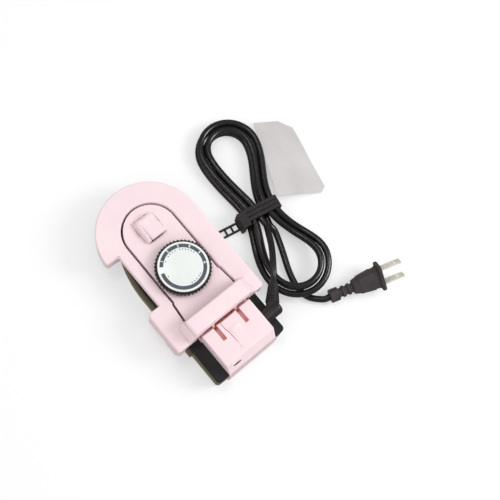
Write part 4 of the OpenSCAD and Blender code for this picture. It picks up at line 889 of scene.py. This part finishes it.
def spreadTree():
    # one copy of a piece at every point of a mesh, turned to face away from the axis
    tree = bpy.data.node_groups.new("spreadCopies", "GeometryNodeTree")
    for label, way, kind in (("Geometry", "INPUT", "Geometry"), ("Piece", "INPUT", "Object"),
                             ("Surface", "INPUT", "Material"), ("Geometry", "OUTPUT", "Geometry")):
        tree.interface.new_socket(label, in_out=way, socket_type="NodeSocket" + kind)
    start, end = addNode(tree, "NodeGroupInput"), addNode(tree, "NodeGroupOutput")
    piece = addNode(tree, "GeometryNodeObjectInfo", inputs={"Object": start.outputs["Piece"]})
    spot = addNode(tree, "GeometryNodeInputPosition").outputs[0]
    split = addNode(tree, "ShaderNodeSeparateXYZ", inputs={0: spot})
    angle = maths(tree, "ARCTAN2", split.outputs["Y"], split.outputs["X"])
    turn = addNode(tree, "ShaderNodeCombineXYZ", inputs={"Z": angle})
    copies = addNode(tree, "GeometryNodeInstanceOnPoints", inputs={
        "Points": start.outputs["Geometry"], "Instance": piece.outputs["Geometry"],
        "Rotation": turn.outputs[0]})
    real = addNode(tree, "GeometryNodeRealizeInstances", inputs={0: copies.outputs[0]})
    done = addNode(tree, "GeometryNodeSetMaterial", inputs={
        "Geometry": real.outputs[0], "Material": start.outputs["Surface"]})
    setInputs(tree, end, {0: done.outputs[0]})
    return tree

copiesTree = spreadTree()

def spreadCopies(name, points, piece, material, height):
    # points round the origin in mm; the finished mesh is moved to the dial's axis and that height
    obj = meshObject(name, [metres((*point, 0)) for point in points], [])
    modifier = obj.modifiers.new("copies", "NODES")
    modifier.node_group = copiesTree
    given = {"Piece": piece, "Surface": material}
    for item in copiesTree.interface.items_tree:
        if item.item_type == "SOCKET" and item.in_out == "INPUT" and item.name in given:
            modifier[item.identifier] = given[item.name]
    applied(obj)
    obj.data.transform(Matrix.Translation(metres((*dial["at"], height))))
    setMaterial(obj.data, material)
    for face in obj.data.polygons:
        face.material_index = 0
    bpy.data.objects.remove(piece)
    return obj

def dialRim():
    low, top, bore, hub = dial["low"], dial["top"], dial["bore"], dial["hub"]
    core = dial["radius"] - dial["ridge"]
    # (radius, height): round the hub, the hollow below, the outer wall and the seat of the disc
    profile = [(bore, low + 0.2), (hub, low + 0.2), (hub, low + 3.4), (19.0, low + 3.4), (19.0, low + 0.1),
               (core - 0.5, low), (core, low + 0.5), (core, top - 1.3), (core - 0.35, top - 0.5),
               (core - 0.9, top - 0.1), (19.6, top - 0.02), (19.25, top - 0.1), (19.25, top - 1),
               (bore, top - 1)]
    rim = revolve("dialRim", profile, dial["at"], 184, dialAcetal)
    # one ridge: a rounded bar that leans in at its top
    half, outFrom, outTo = dial["ridgeHalf"], core - 0.3, dial["radius"]
    section = [(outFrom, -half), (outTo - 0.55, -half * 0.72), (outTo - 0.1, -half * 0.4), (outTo, 0),
               (outTo - 0.1, half * 0.4), (outTo - 0.55, half * 0.72), (outFrom, half)]
    rings = []
    for z, inward in ((0.3, 0.5), (0.8, 0.05), (4.3, 0.0), (5.2, 0.35), (5.75, 1.0)):
        rings.append([Vector(((max(x - inward, outFrom - 0.4) - core) * mm, y * mm, (low + z) * mm))
                      for x, y in section])
    ridge = loft("dialRidge", rings, dialAcetal, 50)
    circle = arcPoints((0, 0), core, 0, 360, dial["ridges"])[:-1]
    ridges = smoothShade(spreadCopies("dialRidges", circle, ridge, dialAcetal, 0), 50)
    for obj in (rim, ridges):
        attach(obj, "dial")
    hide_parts("dial_ring")

def dialNumeral(sign, degrees):
    name = "dialNumeral" + sign
    curve = bpy.data.curves.new(name, "FONT")
    curve.body = sign
    curve.size = dial["numeralSize"] * mm
    curve.align_x = "CENTER"
    curve.align_y = "CENTER"
    curve.offset = dial["numeralBold"] * mm
    source = sceneLink(bpy.data.objects.new(name, curve))
    deps = bpy.context.evaluated_depsgraph_get()
    mesh = bpy.data.meshes.new_from_object(source.evaluated_get(deps))
    bpy.data.objects.remove(source)
    place = (*ringPoint(dial["at"], sum(dial["ring"]) / 2, degrees), dial["top"] + 2 * dial["ink"])
    mesh.transform(Matrix.Translation(metres(place)) @ turned(degrees - 90, "Z"))
    setMaterial(mesh, inkWhite)
    return sceneLink(bpy.data.objects.new(name, mesh))

def dialPrint():
    top, inked = dial["top"], dial["top"] + dial["ink"]
    profile = [(0.0, top - 1), (19.15, top - 1), (19.15, top - 0.25), (18.95, top - 0.05), (18.7, top),
               (0.0, top)]
    disc = revolve("dialDisc", profile, dial["at"], 128, dialWhite)
    # the printed ring: four arcs from its inner foot over its flat top to its outer foot
    inner, outer = dial["ring"]
    start, end, steps = dial["gap"][1], dial["gap"][0] + 360, 150
    foot, rim = top + dial["inkFoot"], dial["inkEdge"]
    verts = []
    for r, z in ((inner, foot), (inner + rim, inked), (outer - rim, inked), (outer, foot)):
        verts += [metres((x, y, z)) for x, y in arcPoints(dial["at"], r, start, end, steps)]
    n = steps + 1
    faces = [(i * n + k, i * n + k + 1, (i + 1) * n + k + 1, (i + 1) * n + k)
             for i in range(3) for k in range(steps)]
    ring = outward(meshObject("dialRing", verts, faces, inkSlate))
    for face in ring.data.polygons:
        face.use_smooth = False
    # dots by copies of one small disc
    spots = [ringPoint((0, 0), dial["dotAt"], a) for a in dial["dots"]]
    spot = meshObject("dialDot", [metres((*p, 0)) for p in arcPoints((0, 0), dial["dot"], 0, 345, 23)],
                      [tuple(range(24))])
    pieces = [disc, ring, spreadCopies("dialDots", spots, spot, inkBlack, inked)]
    for i, sign in enumerate(dial["numerals"]):
        pieces.append(dialNumeral(sign, dial["numeralFrom"] + dial["numeralStep"] * i))
    for obj in pieces:
        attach(obj, "dial")
    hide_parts("dial_face")

dialRim()
dialPrint()
print("dial made")

# ---------- film tag on the lead

tag = {"outline": [(0, -2.5), (17, -4.5), (38, -7.5), (42.5, -3), (33, 52), (22, 60), (1, 62)], "turn": -14.0,
       "at": (18.7, 8, 7.9), "lean": -8.5, "tilt": 9.8, "thick": 0.28, "step": 1.6, "wave": 0.35,
       "held": 12, "lift": 0.25, "clear": 0.02, "cuts": (((1, 0, 0), 0, 43), ((0, 1, 0), -7, 62))}

def tagPiece():
    place = (Matrix.Translation(Vector((*lead["at"], 0))) @ turned(tag["turn"], "Z")
             @ Matrix.Translation(Vector(tag["at"])) @ turned(tag["lean"], "Z") @ turned(tag["tilt"], "Y"))
    bm = bmesh.new()
    face = bm.faces.new([bm.verts.new((x, y, 0)) for x, y in along(tag["outline"], tag["step"])])
    bmesh.ops.triangulate(bm, faces=[face])
    for axis, low, high in tag["cuts"]:
        spot = low + tag["step"]
        while spot < high:
            geom = bm.verts[:] + bm.edges[:] + bm.faces[:]
            bmesh.ops.bisect_plane(bm, geom=geom, plane_co=[spot * c for c in axis], plane_no=axis)
            spot += tag["step"]
    # soft waves, none at the held edge
    for vert in bm.verts:
        x, y = vert.co.x, vert.co.y
        wave = sin(y * 0.16 + x * 0.05) + 0.6 * sin(x * 0.31 - y * 0.07)
        vert.co.z = tag["lift"] + smoothStep(x / tag["held"]) * tag["wave"] * wave * 0.5
    mesh = bpy.data.meshes.new("filmTag")
    bm.to_mesh(mesh)
    bm.free()
    obj = sceneLink(bpy.data.objects.new("filmTag", mesh))
    thick = obj.modifiers.new("film", "SOLIDIFY")
    thick.thickness = tag["thick"]
    thick.offset = 0
    applied(obj)
    obj.data.transform(place)
    obj.data.transform(Matrix.Scale(mm, 4))
    obj.data.materials.append(tagFilm)
    lowest = min(v.co.z for v in obj.data.vertices)
    if lowest < tag["clear"] * mm:
        obj.data.transform(Matrix.Translation((0, 0, tag["clear"] * mm - lowest)))
    smoothShade(obj, 60)
    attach(obj, "base")
    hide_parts("cord_tag")
    return obj

filmTag = tagPiece()

print("done")
